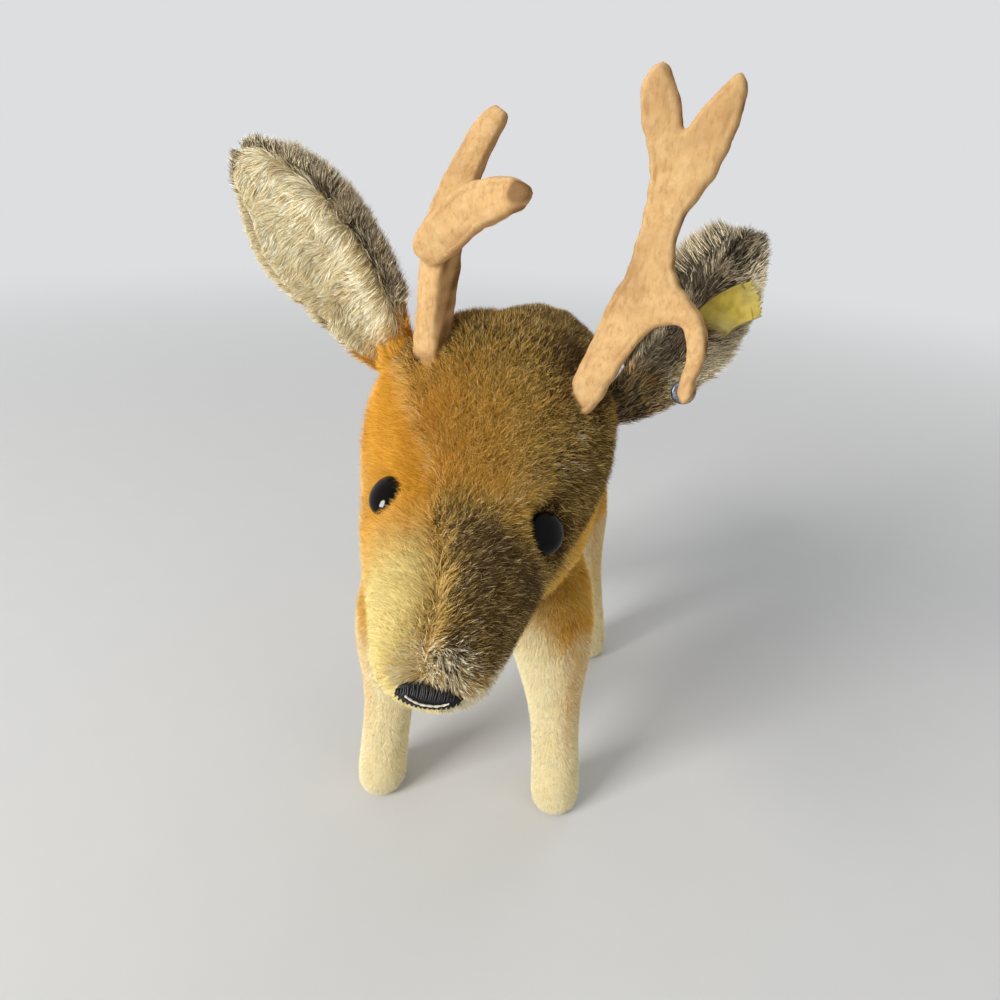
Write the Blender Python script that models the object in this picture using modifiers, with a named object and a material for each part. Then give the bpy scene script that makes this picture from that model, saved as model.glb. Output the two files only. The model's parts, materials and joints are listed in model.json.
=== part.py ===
import math

import bmesh
import bpy
import numpy
from mathutils import Matrix, Vector
from mathutils.bvhtree import BVHTree

# Standing stuffed roe buck in short mohair, head toward -Y, its left side toward +X
mm = 0.001

# Air between neighbouring pieces, and how far a cutter runs past what it cuts
gap = 0.3 * mm
overrun = 4 * mm

# Mohair cloth with the felted foot of its pile
cover_wall = 2.5 * mm
leg_cover_wall = 1.8 * mm

# From the middle of the standing deer's box to the line between the front feet
stance_side = -4.4 * mm
stance_back = -18 * mm

# Trunk: from the open end of the neck to the rump
trunk_length = 124 * mm
trunk_width = 62 * mm
trunk_depth = 68 * mm
trunk_height = 112 * mm
trunk_front = -12 * mm

# Head: nose to the back of the skull, in its own frame between the eyes
head_length = 90 * mm
head_width = 52 * mm
head_depth = 48 * mm
head_front = -44 * mm
head_side = 4.7 * mm
head_ahead = 40.5 * mm
head_rise = 17 * mm
head_height = trunk_height + head_rise
head_turn = math.radians(10)
head_tilt = math.radians(11.3)
head_nod = math.radians(7.3)

# Legs, measured at the middle of the foot
front_foot_side = 29.5 * mm
front_foot_back = 5 * mm
front_step = 3 * mm
front_sway = 1.5 * mm
hind_foot_side = 31.5 * mm
hind_foot_inset = 20 * mm
hind_foot_back = trunk_front + trunk_length - hind_foot_inset
leg_top_drop = 14 * mm
leg_length = trunk_height - leg_top_drop
leg_width = 15 * mm
leg_depth = 16 * mm
foot_flat = 0.5 * mm

# Wires that keep the legs straight
leg_wire_radius = 0.9 * mm
leg_wire_foot = 7 * mm

# Ears
ear_length = 58 * mm
ear_width = 27 * mm
ear_back_thickness = 2.2 * mm
ear_lining_thickness = 1.4 * mm
ear_lining_inset = 1.6 * mm
ear_lining_gap = 0.5 * mm
ear_root_radius = 5.6 * mm
# Where each ear is sewn on the head
ear_left_side = 24 * mm
ear_left_back = 36 * mm
ear_left_rise = 11.5 * mm
ear_right_side = -23 * mm
ear_right_back = 37 * mm
ear_right_rise = 16.5 * mm
ear_root = {
    "left": (ear_left_side, ear_left_back, ear_left_rise),
    "right": (ear_right_side, ear_right_back, ear_right_rise),
}

# Felt antlers over wire
antler_height = 66 * mm
antler_width = 8.4 * mm
antler_thickness = 5.2 * mm
antler_root_radius = 3.2 * mm
antler_root_depth = 1.6 * mm
antler_swing = math.radians(10)
antler_swing_reach = 8 * mm
antler_facing = (0.1, -1.0, 0.1)
antler_wire_radius = 0.7 * mm
# Where each antler is sewn on the head
antler_left_side = 21.7 * mm
antler_left_back = 26.4 * mm
antler_left_rise = 23.1 * mm
antler_right_side = -14.4 * mm
antler_right_back = 25.7 * mm
antler_right_rise = 23.2 * mm
antler_root = {
    "left": (antler_left_side, antler_left_back, antler_left_rise),
    "right": (antler_right_side, antler_right_back, antler_right_rise),
}

# Glass button eyes on wire shanks
eye_diameter = 9.4 * mm
eye_thickness = 3.8 * mm
eye_seat_depth = 1.2 * mm
eye_rise = 0.5 * mm
eye_back = 0.5 * mm
eye_profile_shares = (0.45, 0.94)
eye_pole_share = 0.12
eye_dome_steps = 5
eye_wire_radius = 0.5 * mm
eye_wire_length = 11 * mm
eye_wire_seat = 1.2 * mm

# Satin stitched nose and the thread under it
nose_width = 11.6 * mm
nose_depth = 5.2 * mm
nose_thickness = 3.4 * mm
mouth_thread_radius = 0.4 * mm

# Tail
tail_length = 17 * mm
tail_width = 11 * mm
tail_thickness = 6.5 * mm
tail_root_radius = 4.2 * mm

# Ear stud and its ribbon
stud_diameter = 6 * mm
stud_cap_thickness = 0.9 * mm
stud_shank_radius = 0.8 * mm
stud_washer_diameter = 4.6 * mm
stud_washer_thickness = 0.6 * mm
stud_washer_stand_off = 0.9 * mm
ribbon_width = 9 * mm
ribbon_length = 32 * mm
ribbon_thickness = 0.5 * mm
ribbon_stand_off = 1.6 * mm

# Points round a section
trunk_count = 8
leg_count = 6
antler_count = 6
ear_count = 4
round_count = 16
stud_count = 20
ball_count = 12

# Weld distance of a tube's caps, as a share of its radius
weld_share = 0.01

# (along, rise, half width, half depth, lean in degrees) from the neck to the rump
trunk_shares = (
    (0.000, 0.355, 0.200, 0.200, 58),
    (0.016, 0.250, 0.315, 0.305, 55),
    (0.060, 0.105, 0.390, 0.405, 45),
    (0.145, -0.045, 0.470, 0.490, 24),
    (0.290, -0.064, 0.500, 0.500, 8),
    (0.484, 0.005, 0.475, 0.455, 3),
    (0.677, 0.066, 0.480, 0.455, 0),
    (0.840, 0.085, 0.450, 0.450, 0),
    (0.950, 0.075, 0.310, 0.340, 0),
    (1.000, 0.065, 0.145, 0.180, 0),
)

# (along, side, rise, half width, half depth) from the nose to the back of the skull
head_shares = (
    (0.000, 0.000, -0.150, 0.115, 0.095),
    (0.060, 0.000, -0.155, 0.180, 0.160),
    (0.210, 0.010, -0.190, 0.245, 0.225),
    (0.360, 0.020, -0.212, 0.320, 0.300),
    (0.500, 0.005, -0.170, 0.405, 0.350),
    (0.640, 0.050, -0.050, 0.500, 0.450),
    (0.780, 0.065, 0.130, 0.575, 0.515),
    (0.890, 0.065, 0.215, 0.530, 0.490),
    (0.965, 0.065, 0.225, 0.395, 0.365),
    (1.000, 0.065, 0.225, 0.220, 0.200),
)

# (rise, side, back, half width, half depth) from the foot to the top inside the trunk,
# with side and back in shares of the leg's length
front_leg_shares = (
    (0.000, 0.000, -0.010, 0.410, 0.450),
    (0.032, 0.000, -0.016, 0.505, 0.565),
    (0.150, -0.006, -0.008, 0.470, 0.500),
    (0.330, -0.024, 0.001, 0.450, 0.445),
    (0.540, -0.047, 0.012, 0.560, 0.590),
    (0.740, -0.072, 0.025, 0.770, 0.870),
    (1.000, -0.122, 0.061, 0.640, 0.760),
)
hind_leg_shares = (
    (0.000, 0.000, 0.010, 0.400, 0.450),
    (0.032, -0.002, 0.004, 0.490, 0.560),
    (0.170, -0.020, 0.030, 0.400, 0.430),
    (0.360, -0.050, 0.067, 0.380, 0.420),
    (0.540, -0.080, 0.060, 0.460, 0.610),
    (0.780, -0.118, -0.005, 0.720, 1.080),
    (1.040, -0.180, -0.041, 0.560, 0.880),
)

# Which stations of a leg its wire follows
leg_wire_stations = (1, 3, 4, 5, 6)

# (side, back, rise) of an ear's middle line from its root, in shares of its length
ear_path_shares = {
    "left": ((0.0, 0.0, 0.0), (0.17, 0.05, 0.18), (0.32, 0.12, 0.52), (0.43, 0.20, 0.84)),
    "right": ((0.0, 0.0, 0.0), (-0.16, 0.045, 0.10), (-0.45, 0.14, 0.36), (-0.80, 0.26, 0.585)),
}
ear_facing = {"left": (0.75, 0.20, -0.55), "right": (-0.20, -0.95, 0.10)}

# (along, half the cloth's width) of an ear, and the half angle of each ear's curl there
ear_shares = (
    (0.00, 0.190),
    (0.14, 0.270),
    (0.30, 0.450),
    (0.50, 0.558),
    (0.70, 0.526),
    (0.87, 0.363),
    (0.97, 0.178),
    (1.00, 0.072),
)
ear_curl = {
    "left": (88, 92, 94, 90, 80, 70, 60, 52),
    "right": (70, 72, 62, 50, 42, 36, 30, 26),
}
ear_line_steps = 4
ear_rim_share = 0.3
ear_lining_first = 1

# Antler branches from the root: (side, back, rise) in shares of the height, half width, half thickness
antler_beam_shares = {
    "left": (
        (0.000, 0.000, 0.000, 0.29, 0.46),
        (0.036, 0.005, 0.130, 0.42, 0.50),
        (0.084, 0.008, 0.295, 0.50, 0.50),
        (0.118, 0.012, 0.445, 0.62, 0.50),
        (0.090, 0.030, 0.545, 0.56, 0.50),
        (0.073, 0.050, 0.645, 0.47, 0.48),
        (0.049, 0.075, 0.745, 0.50, 0.46),
        (0.004, 0.105, 0.845, 0.48, 0.44),
        (-0.046, 0.130, 0.935, 0.50, 0.42),
        (-0.080, 0.148, 1.005, 0.36, 0.36),
        (-0.089, 0.152, 1.030, 0.16, 0.20),
    ),
    "right": (
        (0.000, 0.000, 0.000, 0.29, 0.46),
        (-0.004, 0.030, 0.113, 0.42, 0.50),
        (-0.024, 0.070, 0.227, 0.46, 0.50),
        (-0.065, 0.110, 0.343, 0.54, 0.50),
        (-0.045, 0.155, 0.453, 0.48, 0.48),
        (-0.010, 0.185, 0.533, 0.48, 0.46),
        (0.025, 0.215, 0.633, 0.48, 0.44),
        (0.055, 0.240, 0.723, 0.40, 0.38),
        (0.065, 0.250, 0.758, 0.18, 0.22),
    ),
}
antler_tine_shares = {
    "left": (
        (
            (0.073, 0.050, 0.645, 0.26, 0.32),
            (0.078, 0.085, 0.735, 0.50, 0.44),
            (0.096, 0.115, 0.835, 0.56, 0.44),
            (0.124, 0.122, 0.925, 0.54, 0.42),
            (0.153, 0.124, 1.005, 0.38, 0.36),
            (0.163, 0.124, 1.035, 0.18, 0.20),
        ),
        (
            (0.086, 0.010, 0.445, 0.20, 0.26),
            (0.154, -0.002, 0.470, 0.34, 0.40),
            (0.220, -0.025, 0.460, 0.33, 0.40),
            (0.275, -0.060, 0.415, 0.31, 0.38),
            (0.311, -0.100, 0.340, 0.30, 0.36),
            (0.312, -0.135, 0.254, 0.30, 0.36),
            (0.294, -0.168, 0.183, 0.26, 0.34),
            (0.286, -0.176, 0.163, 0.12, 0.18),
        ),
    ),
    "right": (
        (
            (-0.050, 0.110, 0.363, 0.24, 0.30),
            (-0.030, 0.060, 0.433, 0.46, 0.44),
            (0.025, -0.020, 0.498, 0.50, 0.46),
            (0.080, -0.110, 0.558, 0.52, 0.46),
            (0.135, -0.190, 0.608, 0.44, 0.42),
            (0.156, -0.218, 0.625, 0.20, 0.24),
        ),
    ),
}

# Tail, (along, lift, half width, half thickness) from its root
tail_shares = (
    (0.00, 0.00, 0.30, 0.34),
    (0.22, 0.02, 0.42, 0.46),
    (0.55, 0.00, 0.50, 0.50),
    (0.85, -0.08, 0.40, 0.40),
    (1.00, -0.12, 0.16, 0.18),
)
tail_seat_direction = (0.0, 0.80, 0.60)
tail_hang = math.radians(52)

# (across, down) of the pale thread in shares of half the nose
mouth_line_shares = (
    (-0.72, 0.22),
    (-0.60, 0.06),
    (-0.42, -0.08),
    (-0.20, -0.18),
    (0.02, -0.22),
    (0.24, -0.18),
    (0.44, -0.06),
    (0.62, 0.12),
)

# Stud: share along the ear, share of the curl's half angle toward the outer rim, and its turned cap
stud_along_share = 0.42
stud_turn_share = -0.76
stud_cap_shares = ((0.96, 0.0), (1.0, 0.3), (0.92, 0.75), (0.6, 1.0), (0.1, 1.05))
ribbon_aim_share = 0.70
# (along, side, lift) of the ribbon's middle line from the stud, in shares of its length
ribbon_shares = (
    (-0.14, 0.00, 0.020),
    (0.00, 0.00, 0.000),
    (0.16, 0.00, 0.010),
    (0.34, 0.01, 0.060),
    (0.52, 0.02, 0.120),
    (0.70, 0.03, 0.165),
    (0.86, 0.04, 0.180),
)
ribbon_twist = math.radians(12)

colours = {
    "gold_mohair": ((0.62, 0.34, 0.08, 1), 0.9, 0),
    "cream_mohair": ((0.80, 0.62, 0.30, 1), 0.9, 0),
    "grey_mohair": ((0.20, 0.17, 0.13, 1), 0.9, 0),
    "wood_wool": ((0.70, 0.55, 0.32, 1), 0.95, 0),
    "antler_felt": ((0.80, 0.48, 0.25, 1), 0.95, 0),
    "black_glass": ((0.01, 0.01, 0.01, 1), 0.05, 0),
    "steel_wire": ((0.45, 0.45, 0.46, 1), 0.35, 1),
    "black_thread": ((0.01, 0.01, 0.012, 1), 0.6, 0),
    "cream_thread": ((0.85, 0.78, 0.62, 1), 0.7, 0),
    "yellow_ribbon": ((0.80, 0.62, 0.04, 1), 0.6, 0),
    "stud_metal": ((0.20, 0.20, 0.22, 1), 0.4, 1),
}


def clear_scene():
    for item in list(bpy.data.objects):
        bpy.data.objects.remove(item, do_unlink=True)


def new_collection(name):
    group = bpy.data.collections.new(name)
    bpy.context.scene.collection.children.link(group)
    return group


def make_material(name):
    colour, roughness, metallic = colours[name]
    material = bpy.data.materials.new(name)
    material.use_nodes = True
    shader = material.node_tree.nodes["Principled BSDF"]
    shader.inputs["Base Color"].default_value = colour
    shader.inputs["Roughness"].default_value = roughness
    shader.inputs["Metallic"].default_value = metallic
    material.diffuse_color = colour
    return material


def add_object(name, mesh, material):
    item = bpy.data.objects.new(name, mesh)
    mesh.shade_smooth()
    if material is None:
        cutters.objects.link(item)
        item.hide_render = True
        item.display_type = "WIRE"
    else:
        parts.objects.link(item)
        mesh.materials.append(materials[material])
    return item


def swell(count, level):
    # A subdivided ring shrinks from its cage, so the cage is drawn larger by this factor
    return 1 / (3 / 4 + math.cos(math.tau / count) / 4) if level else 1


def section(centre, side, up, half_width, half_depth, count):
    ring = []
    for step in range(count):
        angle = math.tau * (step + 0.5) / count
        ring.append(centre + side * (half_width * math.cos(angle)) + up * (half_depth * math.sin(angle)))
    return ring


def skin_rings(name, rings, level, material):
    # A loft through closed rings of equal count, with flat ends
    shape = bmesh.new()
    loops = [[shape.verts.new(point) for point in ring] for ring in rings]
    count = len(rings[0])
    for lower, upper in zip(loops, loops[1:]):
        for step in range(count):
            after = (step + 1) % count
            shape.faces.new((lower[step], lower[after], upper[after], upper[step]))
    shape.faces.new(list(reversed(loops[0])))
    shape.faces.new(loops[-1])
    bmesh.ops.recalc_face_normals(shape, faces=shape.faces)
    mesh = bpy.data.meshes.new(name)
    shape.to_mesh(mesh)
    shape.free()
    item = add_object(name, mesh, material)
    if level:
        finer = item.modifiers.new("soften", "SUBSURF")
        finer.levels = level
        finer.render_levels = level
    return item


def form(name, stations, count, level, grow=0.0, material=None, stretch_first=0.0):
    # Stations are (centre, side, up, half width, half depth); grow moves the whole surface out
    factor = swell(count, level)
    rings = []
    last = len(stations) - 1
    for index, (centre, side, up, half_width, half_depth) in enumerate(stations):
        along = side.cross(up).normalized()
        if index == 0:
            outward = (stations[0][0] - stations[1][0]).normalized()
            facing = along if along.dot(outward) > 0 else -along
            centre = centre + facing * (grow + stretch_first)
        if index == last:
            outward = (stations[last][0] - stations[last - 1][0]).normalized()
            facing = along if along.dot(outward) > 0 else -along
            centre = centre + facing * grow
        rings.append(section(centre, side, up, (half_width + grow) * factor, (half_depth + grow) * factor, count))
    return skin_rings(name, rings, level, material)


def cut(item, *tools):
    for tool in tools:
        step = item.modifiers.new("cut " + tool.name, "BOOLEAN")
        step.operation = "DIFFERENCE"
        step.solver = "EXACT"
        step.object = tool


def join(item, *tools):
    for tool in tools:
        step = item.modifiers.new("join " + tool.name, "BOOLEAN")
        step.operation = "UNION"
        step.solver = "EXACT"
        step.object = tool


def tube(name, points, radius, material=None, resolution=1):
    # A round wire or thread along a list of points, as one closed mesh
    curve = bpy.data.curves.new(name + " line", "CURVE")
    curve.dimensions = "3D"
    curve.bevel_depth = radius
    curve.bevel_resolution = resolution
    curve.use_fill_caps = True
    line = curve.splines.new("POLY")
    line.points.add(len(points) - 1)
    for slot, point in zip(line.points, points):
        slot.co = (*point, 1)
    guide = bpy.data.objects.new(name + " line", curve)
    bpy.context.scene.collection.objects.link(guide)
    view = bpy.context.evaluated_depsgraph_get()
    mesh = bpy.data.meshes.new_from_object(guide.evaluated_get(view))
    bpy.data.objects.remove(guide, do_unlink=True)
    shape = bmesh.new()
    shape.from_mesh(mesh)
    bmesh.ops.remove_doubles(shape, verts=shape.verts, dist=radius * weld_share)
    bmesh.ops.recalc_face_normals(shape, faces=shape.faces)
    shape.to_mesh(mesh)
    shape.free()
    mesh.name = name
    return add_object(name, mesh, material)


def smooth_line(points, steps):
    # Catmull-Rom line through the points
    padded = [points[0] * 2 - points[1], *points, points[-1] * 2 - points[-2]]
    line = []
    for index in range(len(points) - 1):
        before, start, end, after = padded[index:index + 4]
        for step in range(steps):
            share = step / steps
            line.append((
                start * 2
                + (end - before) * share
                + (before * 2 - start * 5 + end * 4 - after) * share ** 2
                + (start * 3 - before - end * 3 + after) * share ** 3
            ) / 2)
    line.append(points[-1].copy())
    return line


def grow_line(points, length):
    # The same line, longer by a length at each end
    first = points[0] + (points[0] - points[1]).normalized() * length
    last = points[-1] + (points[-1] - points[-2]).normalized() * length
    return [first, *points[1:-1], last]


def disc(name, centre, axis, profile, material=None, segments=round_count):
    # A turned piece: profile points are (radius, height), bottom to top, closed on the axis
    turn = axis.normalized().to_track_quat("Z", "Y").to_matrix().to_4x4()
    place = Matrix.Translation(centre) @ turn
    rings = []
    for radius, height in profile:
        ring = []
        for step in range(segments):
            angle = math.tau * step / segments
            ring.append(place @ Vector((radius * math.cos(angle), radius * math.sin(angle), height)))
        rings.append(ring)
    return skin_rings(name, rings, 0, material)


def ball(name, centre, radius, material=None):
    bpy.ops.mesh.primitive_uv_sphere_add(
        segments=ball_count, ring_count=ball_count * 2 // 3, radius=radius, location=centre
    )
    item = bpy.context.object
    mesh = item.data
    mesh.transform(item.matrix_world)
    bpy.data.objects.remove(item, do_unlink=True)
    mesh.name = name
    return add_object(name, mesh, material)


def set_origin(item, point):
    item.data.transform(Matrix.Translation(-point))
    item.location = point


def surface_of(item):
    bpy.context.view_layer.update()
    view = bpy.context.evaluated_depsgraph_get()
    return BVHTree.FromObject(item, view)


def clamp_index(values, index):
    return values[max(0, min(len(values) - 1, index))]


def trunk_stations():
    stations = []
    for along, rise, half_width, half_depth, lean in trunk_shares:
        centre = Vector((0, trunk_front + along * trunk_length, trunk_height + rise * trunk_depth))
        tilt = math.radians(lean)
        up = Vector((0, math.sin(tilt), math.cos(tilt)))
        stations.append((centre, Vector((1, 0, 0)), up, half_width * trunk_width, half_depth * trunk_depth))
    return stations


head_frame = (
    Matrix.Translation((head_side, -head_ahead, head_height))
    @ Matrix.Rotation(head_turn, 4, "Z")
    @ Matrix.Rotation(head_tilt, 4, "Y")
    @ Matrix.Rotation(head_nod, 4, "X")
)
head_axes = head_frame.to_3x3()


def on_head(side, back, rise):
    return head_frame @ Vector((side, back, rise))


def head_stations():
    stations = []
    for along, aside, rise, half_width, half_depth in head_shares:
        centre = on_head(aside * head_width, head_front + along * head_length, rise * head_depth)
        side = head_axes @ Vector((1, 0, 0))
        up = head_axes @ Vector((0, 0, 1))
        stations.append((centre, side, up, half_width * head_width, half_depth * head_depth))
    return stations


def leg_stations(shares, side, foot_side, foot_back, sway=0.0):
    stations = []
    for rise, out, back, half_width, half_depth in shares:
        centre = Vector((
            side * (foot_side + out * leg_length) - sway,
            foot_back + back * leg_length,
            rise * leg_length - foot_flat,
        ))
        stations.append((
            centre,
            Vector((1, 0, 0)),
            Vector((0, 1, 0)),
            half_width * leg_width,
            half_depth * leg_depth,
        ))
    return stations


def ear_section(name, along, turn, offset):
    # Point of an ear at a share along it, at an angle round its curl, out from its middle layer
    path = ear_lines[name]
    place = along * (len(path) - 1)
    index = min(int(place), len(path) - 2)
    centre = path[index].lerp(path[index + 1], place - index)
    ahead = (clamp_index(path, index + 2) - clamp_index(path, index - 1)).normalized()
    facing = (head_axes @ Vector(ear_facing[name])).normalized()
    facing = (facing - ahead * facing.dot(ahead)).normalized()
    side = ahead.cross(facing).normalized()
    places = [station[0] for station in ear_shares]
    half_width = numpy.interp(along, places, [station[1] for station in ear_shares]) * ear_width
    curl = math.radians(numpy.interp(along, places, ear_curl[name]))
    radius = half_width / curl
    angle = turn * curl
    outward = side * math.sin(angle) - facing * math.cos(angle)
    point = centre + outward * (radius + offset) + facing * (radius * math.cos(curl / 2))
    return point, outward, ahead


def ear_rings(name, stations, inner, outer, inset):
    # An inset draws in the two rims alone, so that the back and the lining stay parallel
    rings = []
    for along, half_share in stations:
        rim = max(ear_rim_share, 1 - inset / (half_share * ear_width))
        turns = [max(-rim, min(rim, 2 * step / ear_count - 1)) for step in range(ear_count + 1)]
        ring = [ear_section(name, along, turn, outer)[0] for turn in turns]
        ring += [ear_section(name, along, turn, inner)[0] for turn in reversed(turns)]
        rings.append(ring)
    return rings


def branch_stations(name, branch):
    root = Vector(antler_root[name])
    centres = [
        head_frame @ (root + Vector((side, back, rise)) * antler_height)
        for side, back, rise, _, _ in branch
    ]
    flat = (head_axes @ Vector(antler_facing)).normalized()
    stations = []
    for index, (_, _, _, half_width, half_thickness) in enumerate(branch):
        ahead = (clamp_index(centres, index + 1) - clamp_index(centres, index - 1)).normalized()
        side = ahead.cross(flat).normalized()
        stations.append((
            centres[index],
            side,
            side.cross(ahead).normalized(),
            half_width * antler_width,
            half_thickness * antler_thickness,
        ))
    return stations


clear_scene()
parts = new_collection("plush_deer")
cutters = new_collection("cutters")
materials = {name: make_material(name) for name in colours}

trunk = trunk_stations()
head = head_stations()
legs = {
    "front_left": leg_stations(front_leg_shares, 1, front_foot_side, front_foot_back + front_step, front_sway),
    "front_right": leg_stations(front_leg_shares, -1, front_foot_side, front_foot_back - front_step, front_sway),
    "hind_left": leg_stations(hind_leg_shares, 1, hind_foot_side, hind_foot_back),
    "hind_right": leg_stations(hind_leg_shares, -1, hind_foot_side, hind_foot_back),
}

# Trunk and neck: an open cover over one filling
body_cover = form("body_cover", trunk, trunk_count, 1, material="gold_mohair")
body_hollow = form(
    "body hollow", trunk, trunk_count, 1, -cover_wall, stretch_first=cover_wall + overrun
)
cut(body_cover, body_hollow)
body_stuffing = form(
    "body_stuffing", trunk, trunk_count, 1, -cover_wall - gap, "wood_wool",
    stretch_first=cover_wall,
)
body_clear = form("body clearance", trunk, trunk_count, 1, gap)

# Head: a cover with the neck opening, over its filling
head_cover = form("head_cover", head, trunk_count, 1, material="gold_mohair")
head_hollow = form("head hollow", head, trunk_count, 1, -cover_wall)
cut(head_cover, head_hollow, body_clear)
head_stuffing = form("head_stuffing", head, trunk_count, 1, -cover_wall - gap, "wood_wool")
cut(head_stuffing, body_clear)
head_form = form("head form", head, trunk_count, 1)
head_surface = surface_of(head_form)

# Below the floor, to cut the feet flat
trunk_reach = trunk_length + hind_foot_side
bpy.ops.mesh.primitive_cube_add(
    size=2 * trunk_reach, location=(0, trunk_length / 2, -trunk_reach)
)
floor_block = bpy.context.object
floor_mesh = floor_block.data
floor_mesh.transform(floor_block.matrix_world)
bpy.data.objects.remove(floor_block, do_unlink=True)
floor_cut = add_object("below the feet", floor_mesh, None)


def add_leg(name, stations):
    cover = form(name + "_leg_cover", stations, leg_count, 1, material="cream_mohair")
    hollow = form(name + " leg hollow", stations, leg_count, 1, -leg_cover_wall)
    cut(cover, body_clear, floor_cut, hollow)
    stuffing = form(
        name + "_leg_stuffing", stations, leg_count, 1, -leg_cover_wall - 2 * gap, "wood_wool"
    )
    cut(stuffing, body_clear)
    route = [stations[index][0].copy() for index in leg_wire_stations]
    route[0].z = leg_wire_foot
    tube(name + "_leg_wire", route, leg_wire_radius, "steel_wire")
    room = tube(name + " leg wire room", grow_line(route, gap), leg_wire_radius + gap)
    cut(stuffing, room)
    cut(body_cover, room)
    cut(body_stuffing, room)


for leg_name, leg in legs.items():
    add_leg(leg_name, leg)


def add_eye(name, side):
    start = on_head(0, eye_back, eye_rise)
    outward = head_axes @ Vector((side, 0, 0))
    place, normal, _, _ = head_surface.ray_cast(start, outward)
    base = place - normal * eye_seat_depth
    radius = eye_diameter / 2
    dome = eye_thickness - eye_seat_depth
    profile = [(share * radius, 0) for share in eye_profile_shares]
    for step in range(eye_dome_steps):
        angle = math.pi / 2 * step / eye_dome_steps
        profile.append((radius * math.cos(angle), eye_seat_depth + dome * math.sin(angle)))
    profile.append((eye_pole_share * radius, eye_seat_depth + dome))
    glass = disc("eye_" + name, base, normal, profile, "black_glass")
    seat = [(radius + gap, -gap), (radius + gap, eye_thickness)]
    cut(head_cover, disc("eye seat " + name, base, normal, seat))
    cut(head_stuffing, disc("eye filling seat " + name, base, normal, seat))
    top = base + normal * eye_wire_seat
    foot = top - normal * eye_wire_length
    tube("eye_wire_" + name, [top, foot], eye_wire_radius, "steel_wire")
    room = tube("eye wire room " + name, grow_line([top, foot], gap), eye_wire_radius + gap)
    cut(glass, room)
    cut(head_cover, room)
    cut(head_stuffing, room)


add_eye("left", 1)
add_eye("right", -1)

# Nose: a satin stitched oval on the end of the muzzle, with one pale thread across it
muzzle_rise = head_shares[0][2] * head_depth
nose_point, nose_normal, _, _ = head_surface.ray_cast(
    on_head(0, 0, muzzle_rise), head_axes @ Vector((0, -1, 0))
)
nose_side = head_axes @ Vector((1, 0, 0))
nose_side = (nose_side - nose_normal * nose_side.dot(nose_normal)).normalized()
nose_up = nose_normal.cross(nose_side).normalized()
if nose_up.dot(head_axes @ Vector((0, 0, 1))) < 0:
    nose_up = -nose_up


def oval(name, grow, material=None):
    bpy.ops.mesh.primitive_uv_sphere_add(segments=round_count, ring_count=ball_count, radius=1)
    item = bpy.context.object
    mesh = item.data
    bpy.data.objects.remove(item, do_unlink=True)
    axes = Matrix((
        nose_side * (nose_width / 2 + grow),
        nose_normal * (nose_thickness / 2 + grow),
        nose_up * (nose_depth / 2 + grow),
    )).transposed().to_4x4()
    mesh.transform(Matrix.Translation(nose_point) @ axes)
    if axes.determinant() < 0:
        mesh.flip_normals()
    mesh.name = name
    return add_object(name, mesh, material)


oval("nose_embroidery", 0, "black_thread")
nose_room = oval("nose seat", gap)
cut(head_cover, nose_room)
cut(head_stuffing, nose_room)
mouth_line = []
for across, down in mouth_line_shares:
    bulge = math.sqrt(1 - across ** 2 - down ** 2)
    mouth_line.append(
        nose_point
        + nose_side * (across * nose_width / 2)
        + nose_up * (down * nose_depth / 2)
        + nose_normal * (bulge * nose_thickness / 2 + mouth_thread_radius + gap)
    )
tube("mouth_thread", mouth_line, mouth_thread_radius, "cream_thread")

# Ears: a grey back with a ball root in the head, and a cream lining inside the curl
ear_lines = {}
ear_roots = {}


def add_ear(name):
    toward = Vector(ear_root[name])
    start = on_head(0, toward.y / 2, toward.z / 2)
    direction = head_frame @ toward - start
    root, _, _, _ = head_surface.ray_cast(start, direction.normalized())
    ear_roots[name] = root
    path = [root + head_axes @ (Vector(share) * ear_length) for share in ear_path_shares[name]]
    ear_lines[name] = smooth_line(path, ear_line_steps)
    back = skin_rings(
        "ear_back_" + name,
        ear_rings(name, ear_shares, 0, ear_back_thickness, 0),
        1,
        "grey_mohair",
    )
    join(back, ball("ear root " + name, root, ear_root_radius))
    lining = skin_rings(
        "ear_lining_" + name,
        ear_rings(
            name, ear_shares[ear_lining_first:-1],
            -ear_lining_gap - ear_lining_thickness, -ear_lining_gap, ear_lining_inset,
        ),
        1,
        "cream_mohair",
    )
    room = ball("ear seat " + name, root, ear_root_radius + gap)
    cut(head_cover, room)
    cut(head_stuffing, room)
    cut(lining, room)
    return back, lining


left_ear = add_ear("left")
right_ear = add_ear("right")


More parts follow.
